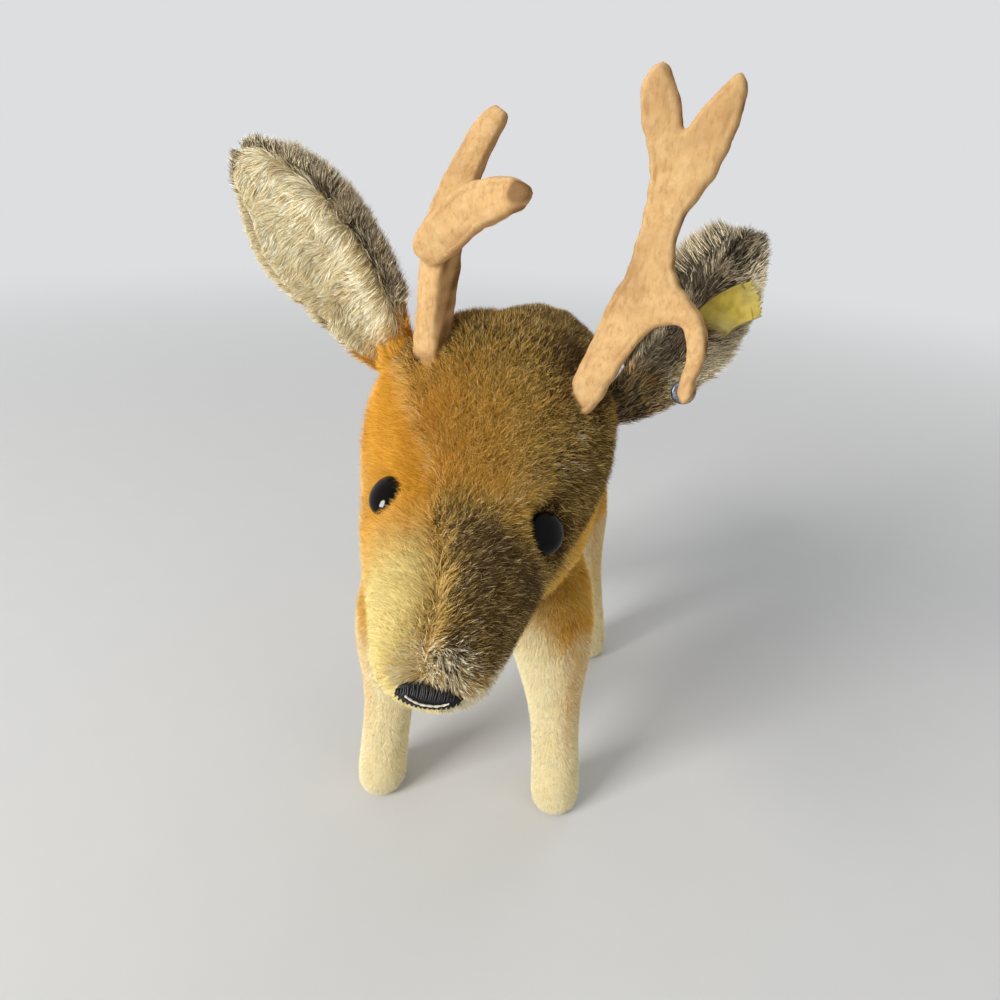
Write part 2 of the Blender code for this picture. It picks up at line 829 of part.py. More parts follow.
def add_antler(name):
    root = head_frame @ Vector(antler_root[name])
    start = on_head(0, antler_root[name][1] / 2, 0)
    skin_point, skin_normal, _, _ = head_surface.ray_cast(start, (root - start).normalized())
    shift = skin_point - skin_normal * antler_root_depth - root
    root = root + shift
    beam = [(centre + shift, *rest) for centre, *rest in branch_stations(name, antler_beam_shares[name])]
    antler = form("antler_" + name, beam, antler_count, 1, material="antler_felt")
    for index, tine in enumerate(antler_tine_shares[name]):
        branch = [(centre + shift, *rest) for centre, *rest in branch_stations(name, tine)]
        join(antler, form("antler tine " + name + " " + str(index), branch, antler_count, 1))
    join(antler, ball("antler root " + name, root, antler_root_radius))
    line = [station[0] for station in beam[:-2]]
    line[0] = line[0] - (line[1] - line[0]).normalized() * (antler_root_radius / 2)
    tube("antler_wire_" + name, line, antler_wire_radius, "steel_wire")
    bore = [line[0] - (line[1] - line[0]).normalized() * overrun, *line[1:-1]]
    bore.append(line[-1] + (line[-1] - line[-2]).normalized() * gap)
    cut(antler, tube("antler wire room " + name, bore, antler_wire_radius + gap))
    room = ball("antler seat " + name, root, antler_root_radius + gap)
    swing_radius = antler_width / 2 + gap + antler_swing_reach * math.tan(antler_swing)
    swing_cone = [(antler_root_radius, 0), (swing_radius, antler_swing_reach)]
    swing_room = disc("antler swing room " + name, root, beam[1][0] - beam[0][0], swing_cone)
    cut(head_cover, room, swing_room)
    cut(head_stuffing, room, swing_room)
    return antler, root


left_antler, left_antler_root = add_antler("left")
right_antler, right_antler_root = add_antler("right")

# Tail on a ball root at the top of the rump
trunk_form = form("trunk form", trunk, trunk_count, 1)
trunk_surface = surface_of(trunk_form)
rump_centre = trunk[-3][0]
tail_root, tail_normal, _, _ = trunk_surface.ray_cast(rump_centre, Vector(tail_seat_direction).normalized())
tail_ahead = Vector((0, math.sin(tail_hang), -math.cos(tail_hang)))
tail_up = Vector((0, math.cos(tail_hang), math.sin(tail_hang)))
tail_stations = []
for along, lift, half_width, half_thickness in tail_shares:
    centre = tail_root + tail_ahead * (along * tail_length) + tail_up * (lift * tail_length)
    tail_stations.append((
        centre, Vector((1, 0, 0)), tail_up, half_width * tail_width, half_thickness * tail_thickness
    ))
tail = form("tail", tail_stations, trunk_count, 1, material="gold_mohair")
join(tail, ball("tail root", tail_root, tail_root_radius))
tail_room = ball("tail seat", tail_root, tail_root_radius + gap)
cut(body_cover, tail_room)
cut(body_stuffing, tail_room)

# Stud through the left ear from its outer side, its clinched washer inside, and the ribbon under its cap
stud_start, stud_axis, _ = ear_section("left", stud_along_share, stud_turn_share, overrun)
ear_walls = ear_back_thickness + ear_lining_gap + ear_lining_thickness
stud_seat, _, _, _ = surface_of(left_ear[0]).ray_cast(stud_start, -stud_axis)
inner_start = stud_seat - stud_axis * (ear_walls + overrun)
inner_face, _, _, _ = surface_of(left_ear[1]).ray_cast(inner_start, stud_axis)
ribbon_ahead = ear_section("left", ribbon_aim_share, 0, 0)[2]
ribbon_room = 2 * ribbon_stand_off + ribbon_thickness
cap_base = stud_seat + stud_axis * ribbon_room
washer_base = inner_face - stud_axis * (stud_washer_stand_off + stud_washer_thickness)
shank_length = (cap_base - washer_base).length
stud_cap = [(stud_shank_radius, -shank_length), (stud_shank_radius, 0)]
stud_cap += [(wide * stud_diameter / 2, high * stud_cap_thickness) for wide, high in stud_cap_shares]
stud = disc("ear_stud", cap_base, stud_axis, stud_cap, "stud_metal", stud_count)
shank_room = disc(
    "stud shank room", cap_base, stud_axis,
    [(stud_shank_radius + gap, -shank_length - overrun), (stud_shank_radius + gap, overrun)],
)
washer = disc(
    "ear_stud_washer",
    washer_base,
    stud_axis,
    [(stud_washer_diameter / 2, 0), (stud_washer_diameter / 2, stud_washer_thickness)],
    "stud_metal",
)
ribbon_normal = stud_axis
ribbon_ahead = (ribbon_ahead - ribbon_normal * ribbon_ahead.dot(ribbon_normal)).normalized()
ribbon_side = ribbon_ahead.cross(ribbon_normal).normalized()
ribbon_base = stud_seat + stud_axis * (ribbon_room / 2)
ribbon_rings = []
for along, sideways, lift in ribbon_shares:
    centre = (
        ribbon_base
        + ribbon_ahead * (along * ribbon_length)
        + ribbon_side * (sideways * ribbon_length)
        + ribbon_normal * (lift * ribbon_length)
    )
    twist = Matrix.Rotation(ribbon_twist * max(0, along), 3, ribbon_ahead)
    across = twist @ ribbon_side * (ribbon_width / 2)
    through = twist @ ribbon_normal * (ribbon_thickness / 2)
    ribbon_rings.append([
        centre - across - through, centre + across - through, centre + across + through, centre - across + through
    ])
ribbon = skin_rings("ear_ribbon", ribbon_rings, 0, "yellow_ribbon")
cut(ribbon, shank_room)
cut(left_ear[0], shank_room)
cut(left_ear[1], shank_room)
cut(washer, shank_room)

for item in left_ear:
    set_origin(item, ear_roots["left"])
for item in right_ear:
    set_origin(item, ear_roots["right"])
set_origin(left_antler, left_antler_root)
set_origin(right_antler, right_antler_root)
set_origin(tail, tail_root)
set_origin(ribbon, cap_base)

# The whole deer stands with the middle of its box over the origin
stance = bpy.data.objects.new("stance", None)
stance.location = (stance_side, stance_back, 0)
parts.objects.link(stance)
for item in [*parts.objects, *cutters.objects]:
    if item != stance:
        item.parent = stance
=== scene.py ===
import json
import math

import bmesh
import bpy
import numpy as np
from mathutils import Matrix, Vector
from mathutils.bvhtree import BVHTree
from mathutils.kdtree import KDTree

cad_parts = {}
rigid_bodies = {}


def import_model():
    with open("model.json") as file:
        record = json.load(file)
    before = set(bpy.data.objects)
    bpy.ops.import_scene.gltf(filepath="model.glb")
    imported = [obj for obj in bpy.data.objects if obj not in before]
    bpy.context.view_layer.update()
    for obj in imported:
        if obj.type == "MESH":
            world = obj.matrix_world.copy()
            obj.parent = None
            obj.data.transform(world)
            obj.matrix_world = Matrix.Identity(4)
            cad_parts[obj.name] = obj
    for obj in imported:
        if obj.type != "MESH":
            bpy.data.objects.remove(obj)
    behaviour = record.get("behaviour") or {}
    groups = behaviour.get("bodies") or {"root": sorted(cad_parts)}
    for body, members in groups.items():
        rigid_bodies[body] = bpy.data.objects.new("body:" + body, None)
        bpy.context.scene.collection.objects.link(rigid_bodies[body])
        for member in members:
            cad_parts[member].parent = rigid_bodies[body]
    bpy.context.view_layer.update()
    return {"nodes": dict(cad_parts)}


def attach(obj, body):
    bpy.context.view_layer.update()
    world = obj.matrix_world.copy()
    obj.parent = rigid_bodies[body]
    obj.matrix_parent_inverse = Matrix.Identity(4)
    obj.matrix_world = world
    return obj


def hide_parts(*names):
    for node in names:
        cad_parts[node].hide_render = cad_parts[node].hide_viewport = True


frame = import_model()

# A standing stuffed roe buck: mohair skins with a sewn-in pile, felt antlers, glass eyes, a stitched nose
nodes = frame["nodes"]
mm = 0.001


# Selecting and modifiers

def deselectAll():
    for piece in bpy.context.scene.objects:
        piece.select_set(False)


def pick(piece):
    deselectAll()
    piece.select_set(True)
    bpy.context.view_layer.objects.active = piece


def applied(piece, kind, **settings):
    pick(piece)
    modifier = piece.modifiers.new(kind.title(), kind)
    for setting, value in settings.items():
        setattr(modifier, setting, value)
    bpy.ops.object.modifier_apply(modifier=modifier.name)


def linked(name, data):
    piece = bpy.data.objects.new(name, data)
    bpy.context.scene.collection.objects.link(piece)
    return piece


def smoothed(piece):
    for polygon in piece.data.polygons:
        polygon.use_smooth = True


def movePoints(piece, places):
    piece.data.vertices.foreach_set("co", places.astype(np.float32).ravel())
    piece.data.update()


def remeshed(piece, voxel, smooth):
    applied(piece, "REMESH", mode="VOXEL", voxel_size=voxel * mm, use_smooth_shade=True)
    applied(piece, "SMOOTH", factor=0.5, iterations=smooth)


def builtPiece(name, build):
    mesh = bpy.data.meshes.new(name)
    build.to_mesh(mesh)
    build.free()
    return linked(name, mesh)


def mergedCopy(name, *nodeNames):
    # several nodes' meshes as one new piece, their doubles merged
    build = bmesh.new()
    for nodeName in nodeNames:
        build.from_mesh(nodes[nodeName].data)
    bmesh.ops.remove_doubles(build, verts=build.verts, dist=0.001 * mm)
    return builtPiece(name, build)


def treeOf(*pieces):
    corners, faces = [], []
    for piece in pieces:
        piece.data.calc_loop_triangles()
        start = len(corners)
        corners += [vertex.co.copy() for vertex in piece.data.vertices]
        faces += [[start + i for i in triangle.vertices] for triangle in piece.data.loop_triangles]
    return BVHTree.FromPolygons(corners, faces)


def buried(tree, point, margin=0.0):
    # true where a point lies inside a closed shape, or less than margin outside it
    if margin and tree.find_nearest(point, margin)[0] is not None:
        return True
    way, walls, hit = Vector((0.14, 0.21, 0.97)).normalized(), 0, point
    while hit is not None:
        hit = tree.ray_cast(hit + way * 0.001 * mm, way)[0]
        walls += hit is not None
    return walls % 2 == 1


# Shader maths written as Python

class Wire:
    def __init__(self, finish, socket):
        self.finish, self.socket = finish, socket

    def maths(self, operation, *others, turned=False):
        values = [self, *others]
        if turned:
            values.reverse()
        return self.finish.add("ShaderNodeMath", {"operation": operation}, dict(enumerate(values)))

    def output(self, which):
        return Wire(self.finish, self.socket.node.outputs[which])

    def __add__(self, other):
        return self.maths("ADD", other)

    def __sub__(self, other):
        return self.maths("SUBTRACT", other)

    def __rsub__(self, other):
        return self.maths("SUBTRACT", other, turned=True)

    def __mul__(self, other):
        return self.maths("MULTIPLY", other)

    def __pow__(self, other):
        return self.maths("POWER", other)

    __radd__ = __add__
    __rmul__ = __mul__

    def between(self, low, high):
        # 0 below low, 1 above high, smooth between them
        return self.finish.add(
            "ShaderNodeMapRange", {"interpolation_type": "SMOOTHSTEP"}, {0: self, 1: low, 2: high}
        )


class Finish:
    def __init__(self, name, kind="materials"):
        self.material = getattr(bpy.data, kind).new(name)
        self.material.use_nodes = True
        self.tree = self.material.node_tree
        self.tree.nodes.clear()

    def add(self, kind, settings=None, sockets=None, out=0):
        node = self.tree.nodes.new(kind)
        for setting, value in (settings or {}).items():
            setattr(node, setting, value)
        for socket, value in (sockets or {}).items():
            if isinstance(value, Wire):
                self.tree.links.new(value.socket, node.inputs[socket])
            elif hasattr(value, "__len__") and node.inputs[socket].type == "RGBA":
                node.inputs[socket].default_value = (*value, 1)
            else:
                node.inputs[socket].default_value = value
        return None if out is None else Wire(self, node.outputs[out])

    def blend(self, share, first, second):
        return self.add("ShaderNodeMix", {"data_type": "RGBA"}, {0: share, 6: first, 7: second}, out=2)

    def place(self):
        return self.add("ShaderNodeTexCoord", out="Object")

    def noise(self, scale, detail=2.0, vector=None, rough=0.5):
        return self.add(
            "ShaderNodeTexNoise", {},
            {"Vector": vector or self.place(), "Scale": scale, "Detail": detail, "Roughness": rough},
        )

    def attribute(self, name, out="Fac"):
        return self.add("ShaderNodeAttribute", {"attribute_name": name}, out=out)

    def seenRays(self):
        # 1 on rays to the camera, in gloss and through glass
        rays = self.add("ShaderNodeLightPath")
        seen = rays.maths("MAXIMUM", rays.output("Is Glossy Ray"))
        return seen.maths("MAXIMUM", rays.output("Is Transmission Ray"))

    def shaded(self, bump=None, **sockets):
        named = {name.replace("_", " "): value for name, value in sockets.items()}
        if bump:
            height, strength, distance = bump
            named["Normal"] = self.add(
                "ShaderNodeBump", {}, {"Height": height, "Strength": strength, "Distance": distance}
            )
        surface = self.add("ShaderNodeBsdfPrincipled", {}, named)
        self.add("ShaderNodeOutputMaterial", {}, {0: surface}, out=None)
        return self.material


def dress(piece, material, body, slot, *replaced):
    piece.data.materials.clear()
    piece.data.materials.append(material)
    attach(piece, body)
    if replaced:
        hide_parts(*replaced)


# Camera at the photograph's view
cameraValues = {"place": (33.4, -197.4, 204.1), "yaw": 10.2, "pitch": 26.4, "roll": 2.8, "lens": 27.036}
yaw, pitch, roll = (math.radians(cameraValues[turn]) for turn in ("yaw", "pitch", "roll"))
ahead = Vector((-math.sin(yaw) * math.cos(pitch), math.cos(yaw) * math.cos(pitch), -math.sin(pitch)))
level = Vector((math.cos(yaw), math.sin(yaw), 0))
lifted = level.cross(ahead)
cameraRight = math.cos(roll) * level + math.sin(roll) * lifted
cameraUp = -math.sin(roll) * level + math.cos(roll) * lifted
cameraPlace = np.array(cameraValues["place"])
cameraData = bpy.data.cameras.new("photoView")
cameraData.sensor_width = 36
cameraData.lens = cameraValues["lens"]
cameraData.clip_start = 0.01
camera = linked("photoView", cameraData)
turned = Matrix((cameraRight, cameraUp, -ahead)).transposed().to_4x4()
turned.translation = Vector(cameraValues["place"]) * mm
camera.matrix_world = turned
bpy.context.scene.camera = camera
print("camera set")


# Floor, backdrop and light
studioValues = {
    "floor": (0.74, 0.74, 0.73), "floorHalf": 6.0, "sky": (0.72, 0.73, 0.74), "ambient": (0.95, 0.97, 1.0),
    "ambientStrength": 0.42, "floorFade": (0.30, 1.10), "floorPlace": (0, 0, -0.0002),
    "lamps": (  # place, size, power, colour, seen in gloss
        ((-0.84, -1.00, 0.80), 0.60, 18.6, (1.0, 0.99, 0.965), False),
        ((0.95, -0.70, 0.75), 0.90, 1.3, (0.97, 0.98, 1.0), False),
        ((0.30, 1.00, 1.00), 0.80, 2.0, (1.0, 0.99, 0.97), False),
        ((-0.88, -0.87, 0.25), 0.50, 70.0, (1.0, 1.0, 1.0), True),
    ),
    "target": (0.0, -0.02, 0.10),
}
deselectAll()
bpy.ops.mesh.primitive_plane_add(size=2 * studioValues["floorHalf"], location=studioValues["floorPlace"])
floor = bpy.context.object
floor.name = "floor"
floorFinish = Finish("paleFloor")
floorTone = floorFinish.blend(
    floorFinish.noise(60, 4), studioValues["floor"], tuple(0.97 * part for part in studioValues["floor"])
)
floorShader = floorFinish.add("ShaderNodeBsdfDiffuse", {}, {"Color": floorTone})
backdrop = floorFinish.add("ShaderNodeEmission", {}, {"Color": studioValues["sky"]})
distance = floorFinish.add("ShaderNodeVectorMath", {"operation": "LENGTH"}, {0: floorFinish.place()}, out=1)
far = distance.between(*studioValues["floorFade"]) * floorFinish.seenRays()
floorMix = floorFinish.add("ShaderNodeMixShader", {}, {0: far, 1: floorShader, 2: backdrop})
floorFinish.add("ShaderNodeOutputMaterial", {}, {0: floorMix}, out=None)
floor.data.materials.append(floorFinish.material)

sky = Finish("studio", "worlds")
bpy.context.scene.world = sky.material
skyLight = sky.add("ShaderNodeBackground", {}, {0: studioValues["ambient"], 1: studioValues["ambientStrength"]})
skySeen = sky.add("ShaderNodeBackground", {}, {0: studioValues["sky"]})
skyMix = sky.add("ShaderNodeMixShader", {}, {0: sky.seenRays(), 1: skyLight, 2: skySeen})
sky.add("ShaderNodeOutputWorld", {}, {0: skyMix}, out=None)
for number, (place, size, power, tint, glossy) in enumerate(studioValues["lamps"]):
    lampData = bpy.data.lights.new(f"softLamp{number}", "AREA")
    lampData.size, lampData.energy, lampData.color = size, power, tint
    if glossy:
        lampData.shape, lampData.size_y = "ELLIPSE", 1.5 * size
    lamp = linked(f"softLamp{number}", lampData)
    lamp.location = place
    lamp.visible_glossy = glossy
    lamp.visible_diffuse = not glossy
    aim = Vector(studioValues["target"]) - Vector(place)
    lamp.rotation_euler = aim.to_track_quat("-Z", "Y").to_euler()
bpy.context.scene.view_settings.view_transform = "Standard"
print("studio set")


# The head's own frame: its side, back and rise, from a point between the eyes
headValues = {
    "side": (0.96572, 0.17028, -0.19595), "back": (-0.14772, 0.98115, 0.1246), "rise": (0.21347, -0.09138, 0.97267),
    "centre": (0.3, -58.5, 129.0),
}
headAxes = np.array([headValues["side"], headValues["back"], headValues["rise"]])


def inHead(points):
    # points in metres to millimetres along the head's side, back and rise
    return (points / mm - np.array(headValues["centre"])) @ headAxes.T


def fromHead(vectors):
    return vectors @ headAxes


# Fields that vary smoothly over space, the same each run

def ripples(points, size, seed, waves=7):
    # a smooth random field of three values, about -1 to 1, with features about size metres wide
    chance = np.random.default_rng(seed)
    total = np.zeros((len(points), 3))
    for _ in range(waves):
        wave = chance.normal(size=3)
        wave *= 2 * math.pi / (size * chance.uniform(1.2, 2.4)) / np.linalg.norm(wave)
        phase = chance.uniform(0, 2 * math.pi, 3)
        total += np.sin((points @ wave)[:, None] + phase)
    return total / math.sqrt(waves)


def ramp(values, low, high):
    share = np.clip((values - low) / (high - low), 0, 1)
    return share * share * (3 - 2 * share)


def hump(values, middle, wide):
    # 1 at the middle, falling away on both sides
    return np.exp(-(((values - middle) / wide) ** 2))


def unit(vectors):
    return vectors / np.maximum(np.linalg.norm(vectors, axis=-1, keepdims=True), 1e-9)


# Mohair: one set of nodes, with root and tip colours for each dye; the darker roots are partly the pile's own tipped
# dye, partly painted shade deep in the pile
dyes = {
    "gold": ((0.68, 0.33, 0.045), (0.96, 0.58, 0.115)),
    "cream": ((0.90, 0.68, 0.26), (1.0, 0.86, 0.38)),
    "brown": ((0.22, 0.120, 0.018), (0.80, 0.52, 0.120)),
    "dark": ((0.022, 0.012, 0.004), (0.17, 0.100, 0.034)),
    "rust": ((0.70, 0.32, 0.025), (0.96, 0.52, 0.055)),
    "silver": ((0.78, 0.62, 0.34), (0.98, 0.91, 0.68)),
}
# the legs' cream and silver are paler than the head's: partly their own paler pile, partly painted light for the lamp
# light the legs' fronts miss
legDyesPaintedLight = {
    **dyes, "cream": ((0.97, 0.77, 0.37), (1.0, 0.93, 0.60)), "silver": ((0.95, 0.85, 0.60), (1.0, 0.97, 0.82)),
}
greyDyes = {
    **dyes, "brown": ((0.07, 0.055, 0.035), (0.66, 0.56, 0.39)),
    "dark": ((0.022, 0.018, 0.013), (0.17, 0.135, 0.085)),
}
liningDyes = {
    **greyDyes, "cream": ((0.66, 0.50, 0.25), (0.90, 0.77, 0.45)), "silver": ((0.80, 0.68, 0.42), (1.0, 0.95, 0.72)),
}


def mohairFinish(name, dyes, rough=0.6, shine=0.08, fleck=0.34):
    finish = Finish(name)
    zones = finish.attribute("pileZones", "Color")
    cream = finish.add("ShaderNodeSeparateColor", {}, {0: zones})
    brown, dark, rust = cream.output("Green"), cream.output("Blue"), zones.output("Alpha")
    silver, reach, chance = (finish.attribute(layer) for layer in ("pileSilver", "pileReach", "pileChance"))
    # each dye runs from its darker root colour to its tip colour: partly the dye, partly painted shade
    lit = reach ** 0.8
    tones = {dye: finish.blend(lit, low, high) for dye, (low, high) in dyes.items()}
    colour = tones["gold"]
    for dye, share in (  # dark and silver go strand by strand, so that their edges are speckled
        ("rust", rust), ("cream", cream), ("brown", brown), ("dark", (dark * 1.16 - chance).between(-0.14, 0.14)),
        ("silver", (silver * 1.10 + chance - 1.05).between(-0.10, 0.10)),
    ):
        colour = finish.blend(share, colour, tones[dye])
    # painted highlight: a few strands in the brown pile are painted paler, as if catching the light
    lone = chance.between(0.80, 0.95) * reach * brown * (1 - 0.7 * dark)
    colour = finish.blend(lone * 0.6, colour, dyes["silver"][0])
    patchy = finish.noise(160, 3, rough=0.6)
    value = 0.96 + (fleck + 0.66 * brown) * (chance - 0.5) + 0.6 * fleck * (patchy - 0.5)
    colour = finish.add(
        "ShaderNodeHueSaturation", {}, {"Saturation": 1.06 - 0.10 * chance, "Color": colour, "Value": value}
    )
    return finish.shaded(Base_Color=colour, Roughness=rough + 0.12 * (1 - chance), Specular_IOR_Level=shine)


mohair = {
    "gold": mohairFinish("goldMohair", dyes), "cream": mohairFinish("creamMohair", legDyesPaintedLight, fleck=0.16),
    "grey": mohairFinish("greyMohair", greyDyes), "lining": mohairFinish("earLining", liningDyes, 0.42, 0.30, 0.45),
}


def addField(mesh, name, values, kind="FLOAT", field="value"):
    layer = mesh.attributes.new(name, kind, "POINT")
    layer.data.foreach_set(field, np.ascontiguousarray(values, dtype=np.float32).ravel())


def markZones(mesh, zones, silver, reach, chance):
    # zones' columns are cream, brown, dark and rust
    addField(mesh, "pileZones", zones, "FLOAT_COLOR", "color")
    addField(mesh, "pileSilver", silver)
    addField(mesh, "pileReach", reach)
    addField(mesh, "pileChance", chance)


def cornersOf(mesh):
    # the places and normals of a mesh's corners
    fields = []
    for corners, field in ((mesh.vertices, "co"), (mesh.vertex_normals, "vector")):
        values = np.empty(len(corners) * 3, np.float32)
        corners.foreach_get(field, values)
        fields.append(values.reshape(-1, 3).astype(float))
    return fields


def makeSkin(name, nodeNames, voxel, smooth, swell=0.0, floorGap=0.15):
    # one closed skin round a cover and its filling, moved out or in to where the pile is rooted
    skin = mergedCopy(name, *nodeNames)
    remeshed(skin, voxel, smooth)
    places, normals = cornersOf(skin.data)
    moved = swell(places) if callable(swell) else np.full(len(places), swell)
    places = places + normals * (moved * mm)[:, None]
    places[:, 2] = np.maximum(places[:, 2], floorGap * mm)
    movePoints(skin, places)
    return skin


# a strand's faces: a bent blade of three triangles, or a straight one of one
strandShapes = {
    "bent": {
        "loops": (0, 1, 2, 3, 3, 2, 4), "starts": (0, 4), "reach": (0.0, 0.0, 0.55, 0.55, 1.0),
        "cell": ((0.1, 0.1), (0.9, 0.1), (0.9, 0.5), (0.1, 0.5), (0.1, 0.5), (0.9, 0.5), (0.5, 0.9)),
    },
    "straight": {
        "loops": (0, 1, 2), "starts": (0,), "reach": (0.0, 0.0, 1.0), "cell": ((0.1, 0.1), (0.9, 0.1), (0.5, 0.9)),
    },
}

# how strands stray from their grain: turns and lifts over tufts and drifts (sizes in millimetres), bend in degrees
pileValues = {
    "tuftTurn": 0.55, "tuftSize": 1.3, "driftTurn": 0.30, "driftSize": 5, "tuftLift": 9, "liftSize": 1.7,
    "bends": (14, -14), "leans": (4, 88), "rooted": 0.25, "floorGap": 0.05, "evenLoose": 0.22,
}


def growPile(name, skin, grain, seed, covered, clear, *, count, wide, tuft=1.0, kind="straight", loose=0.22):
    # count strands of pile on a skin, as mesh
    shape = strandShapes[kind]
    mesh = skin.data
    places, normals = cornersOf(mesh)
    mesh.calc_loop_triangles()
    corners = np.empty(len(mesh.loop_triangles) * 3, np.int32)
    mesh.loop_triangles.foreach_get("vertices", corners)
    corners = corners.reshape(-1, 3)
    a, b, c = (places[corners[:, i]] for i in range(3))
    weights = np.linalg.norm(np.cross(b - a, c - a), axis=1)
    middles = (a + b + c) / 3
    weights *= grain(middles, unit(normals[corners].mean(axis=1)))["thick"]
    hidden = [(tree, 0.0) for tree in covered] + list(clear)
    for number, middle in enumerate(middles):
        if weights[number] > 0 and any(buried(tree, Vector(middle), margin) for tree, margin in hidden):
            weights[number] = 0
    chance = np.random.default_rng(seed)
    chosen = chance.choice(len(corners), count, p=weights / weights.sum())
    u, v = chance.random((2, count))
    over = u + v > 1
    u[over], v[over] = 1 - u[over], 1 - v[over]
    parts = np.stack([1 - u - v, u, v], axis=1)[:, :, None]
    roots = (places[corners[chosen]] * parts).sum(axis=1)
    out = unit((normals[corners[chosen]] * parts).sum(axis=1))
    look = grain(roots, out)
    tufts = pileValues["tuftTurn"] * tuft * ripples(roots, pileValues["tuftSize"] * mm, seed + 1)
    drift = pileValues["driftTurn"] * ripples(roots, pileValues["driftSize"] * mm, seed + 2)
    flow = look["flow"] + tufts + drift + chance.normal(scale=loose, size=tufts.shape) * look.get("stray", 1.0)
    flow = unit(flow - out * (flow * out).sum(axis=1, keepdims=True))
    lean = look["lift"] + pileValues["tuftLift"] * tuft * ripples(roots, pileValues["liftSize"] * mm, seed + 3)[:, 0]
    lean = lean + chance.normal(scale=5 + 20 * (loose - pileValues["evenLoose"]), size=count)
    length = look["length"] * (0.80 + 0.32 * chance.random(count)) * mm
    points = [roots - out * pileValues["rooted"] * mm]
    ways = []
    for bend in pileValues["bends"]:
        angle = np.radians(np.clip(lean + bend, *pileValues["leans"]))[:, None]
        ways.append(unit(out * np.sin(angle) + flow * np.cos(angle)))
        points.append(points[-1] + ways[-1] * (length / 2)[:, None])
    across = unit(np.cross(ways[0], out) + 1e-6)
    turn = chance.uniform(-1.0, 1.0, count)[:, None]
    across = across * np.cos(turn) + np.cross(ways[0], across) * np.sin(turn)
    half = (0.5 * wide * mm * (0.8 + 0.4 * chance.random(count)))[:, None]
    strip = [points[0] - across * half, points[0] + across * half, points[2]]
    if kind == "bent":
        strip[2:2] = [points[1] + across * half * 0.85, points[1] - across * half * 0.85]
    strip = np.stack(strip, axis=1)
    strip[:, :, 2] = np.maximum(strip[:, :, 2], pileValues["floorGap"] * mm)
    each, loops, starts = strip.shape[1], len(shape["loops"]), len(shape["starts"])
    pile = bpy.data.meshes.new(name)
    pile.vertices.add(count * each)
    pile.vertices.foreach_set("co", strip.astype(np.float32).ravel())
    pile.loops.add(count * loops)
    step = np.arange(count, dtype=np.int32)[:, None]
    pile.loops.foreach_set("vertex_index", (step * each + np.array(shape["loops"], np.int32)).ravel())
    pile.polygons.add(count * starts)
    pile.polygons.foreach_set("loop_start", (step * loops + np.array(shape["starts"], np.int32)).ravel())
    pile.polygons.foreach_set("use_smooth", np.ones(count * starts, bool))
    pile.update(calc_edges=True)
    perRow = math.ceil(math.sqrt(count))
    cell = np.stack([np.arange(count) % perRow, np.arange(count) // perRow], axis=1)[:, None, :]
    spots = (cell + np.array(shape["cell"])) / perRow
    pile.uv_layers.new(name="OFBake").data.foreach_set("uv", spots.astype(np.float32).ravel())
    markZones(
        pile, np.repeat(look["zones"], each, axis=0), np.repeat(look["silver"], each),
        np.tile(shape["reach"], count), np.repeat(chance.random(count), each),
    )
    print(name, count, "strands")
    return linked(name, pile)


def growHalves(names, skin, grain, divide, seed, covered, clear, **pileLook):
    # one pile in two pieces: where the dividing field is 1, then where it is 0
    for number, name in enumerate(names):
        def halfGrain(points, normals, number=number):
            look = grain(points, normals)
            share = divide(points)
            look["thick"] = look["thick"] * (1 - share if number else share)
            return look
        pile = growPile(name, skin, halfGrain, seed + 10 * number, covered, clear, **pileLook)
        dress(pile, mohair["gold"], "root", "gold_mohair")


def evenLook(flow, lift, length, zones, silver):
    # what a grain gives back where its lift, length and thickness are the same all over
    ones = np.ones(len(flow))
    return {
        "flow": flow, "lift": lift * ones, "length": length * ones, "zones": zones, "silver": silver * ones,
        "thick": ones,
    }


def markSkin(skin, grain, seed):
    # the backing shows between the strands, in the dyes of their roots, so partly in painted shade
    places, normals = cornersOf(skin.data)
    look = grain(places, normals)
    patches = 0.5 + 0.5 * np.clip(ripples(places, 1.5 * mm, seed)[:, 0], -1, 1)
    markZones(skin.data, look["zones"], look["silver"] * 0.4, np.full(len(places), 0.15), patches)


# Head
headLook = {
    # back of the head's centre, and the seam's side at each, for both gusset seams (the deer's right one first)
    "seamBack": (-46.0, -40.8, -32.9, -23.4, -13.5, -4.2, 5.8, 15.9, 22.8, 34.0),
    "rightSeam": (0.0, 0.4, 0.5, 0.1, -1.8, -5.0, -10.6, -16.8, -19.9, -25.0),
    "leftSeam": (0.9, 3.0, 4.6, 5.6, 6.6, 8.4, 14.2, 21.5, 24.5, 27.0),
    "nosePoint": (-0.2, -43.0, -4.5),
    "eyes": (((18.0, 0.6, 0.4), 1.8), ((-16.6, 0.6, 0.4), 0.2)),  # place, and how far the skin is drawn in round it
    "pile": {"count": 150000, "tuft": 0.40, "wide": 0.23, "loose": 0.50}, "half": (2.0, 2.01),
}


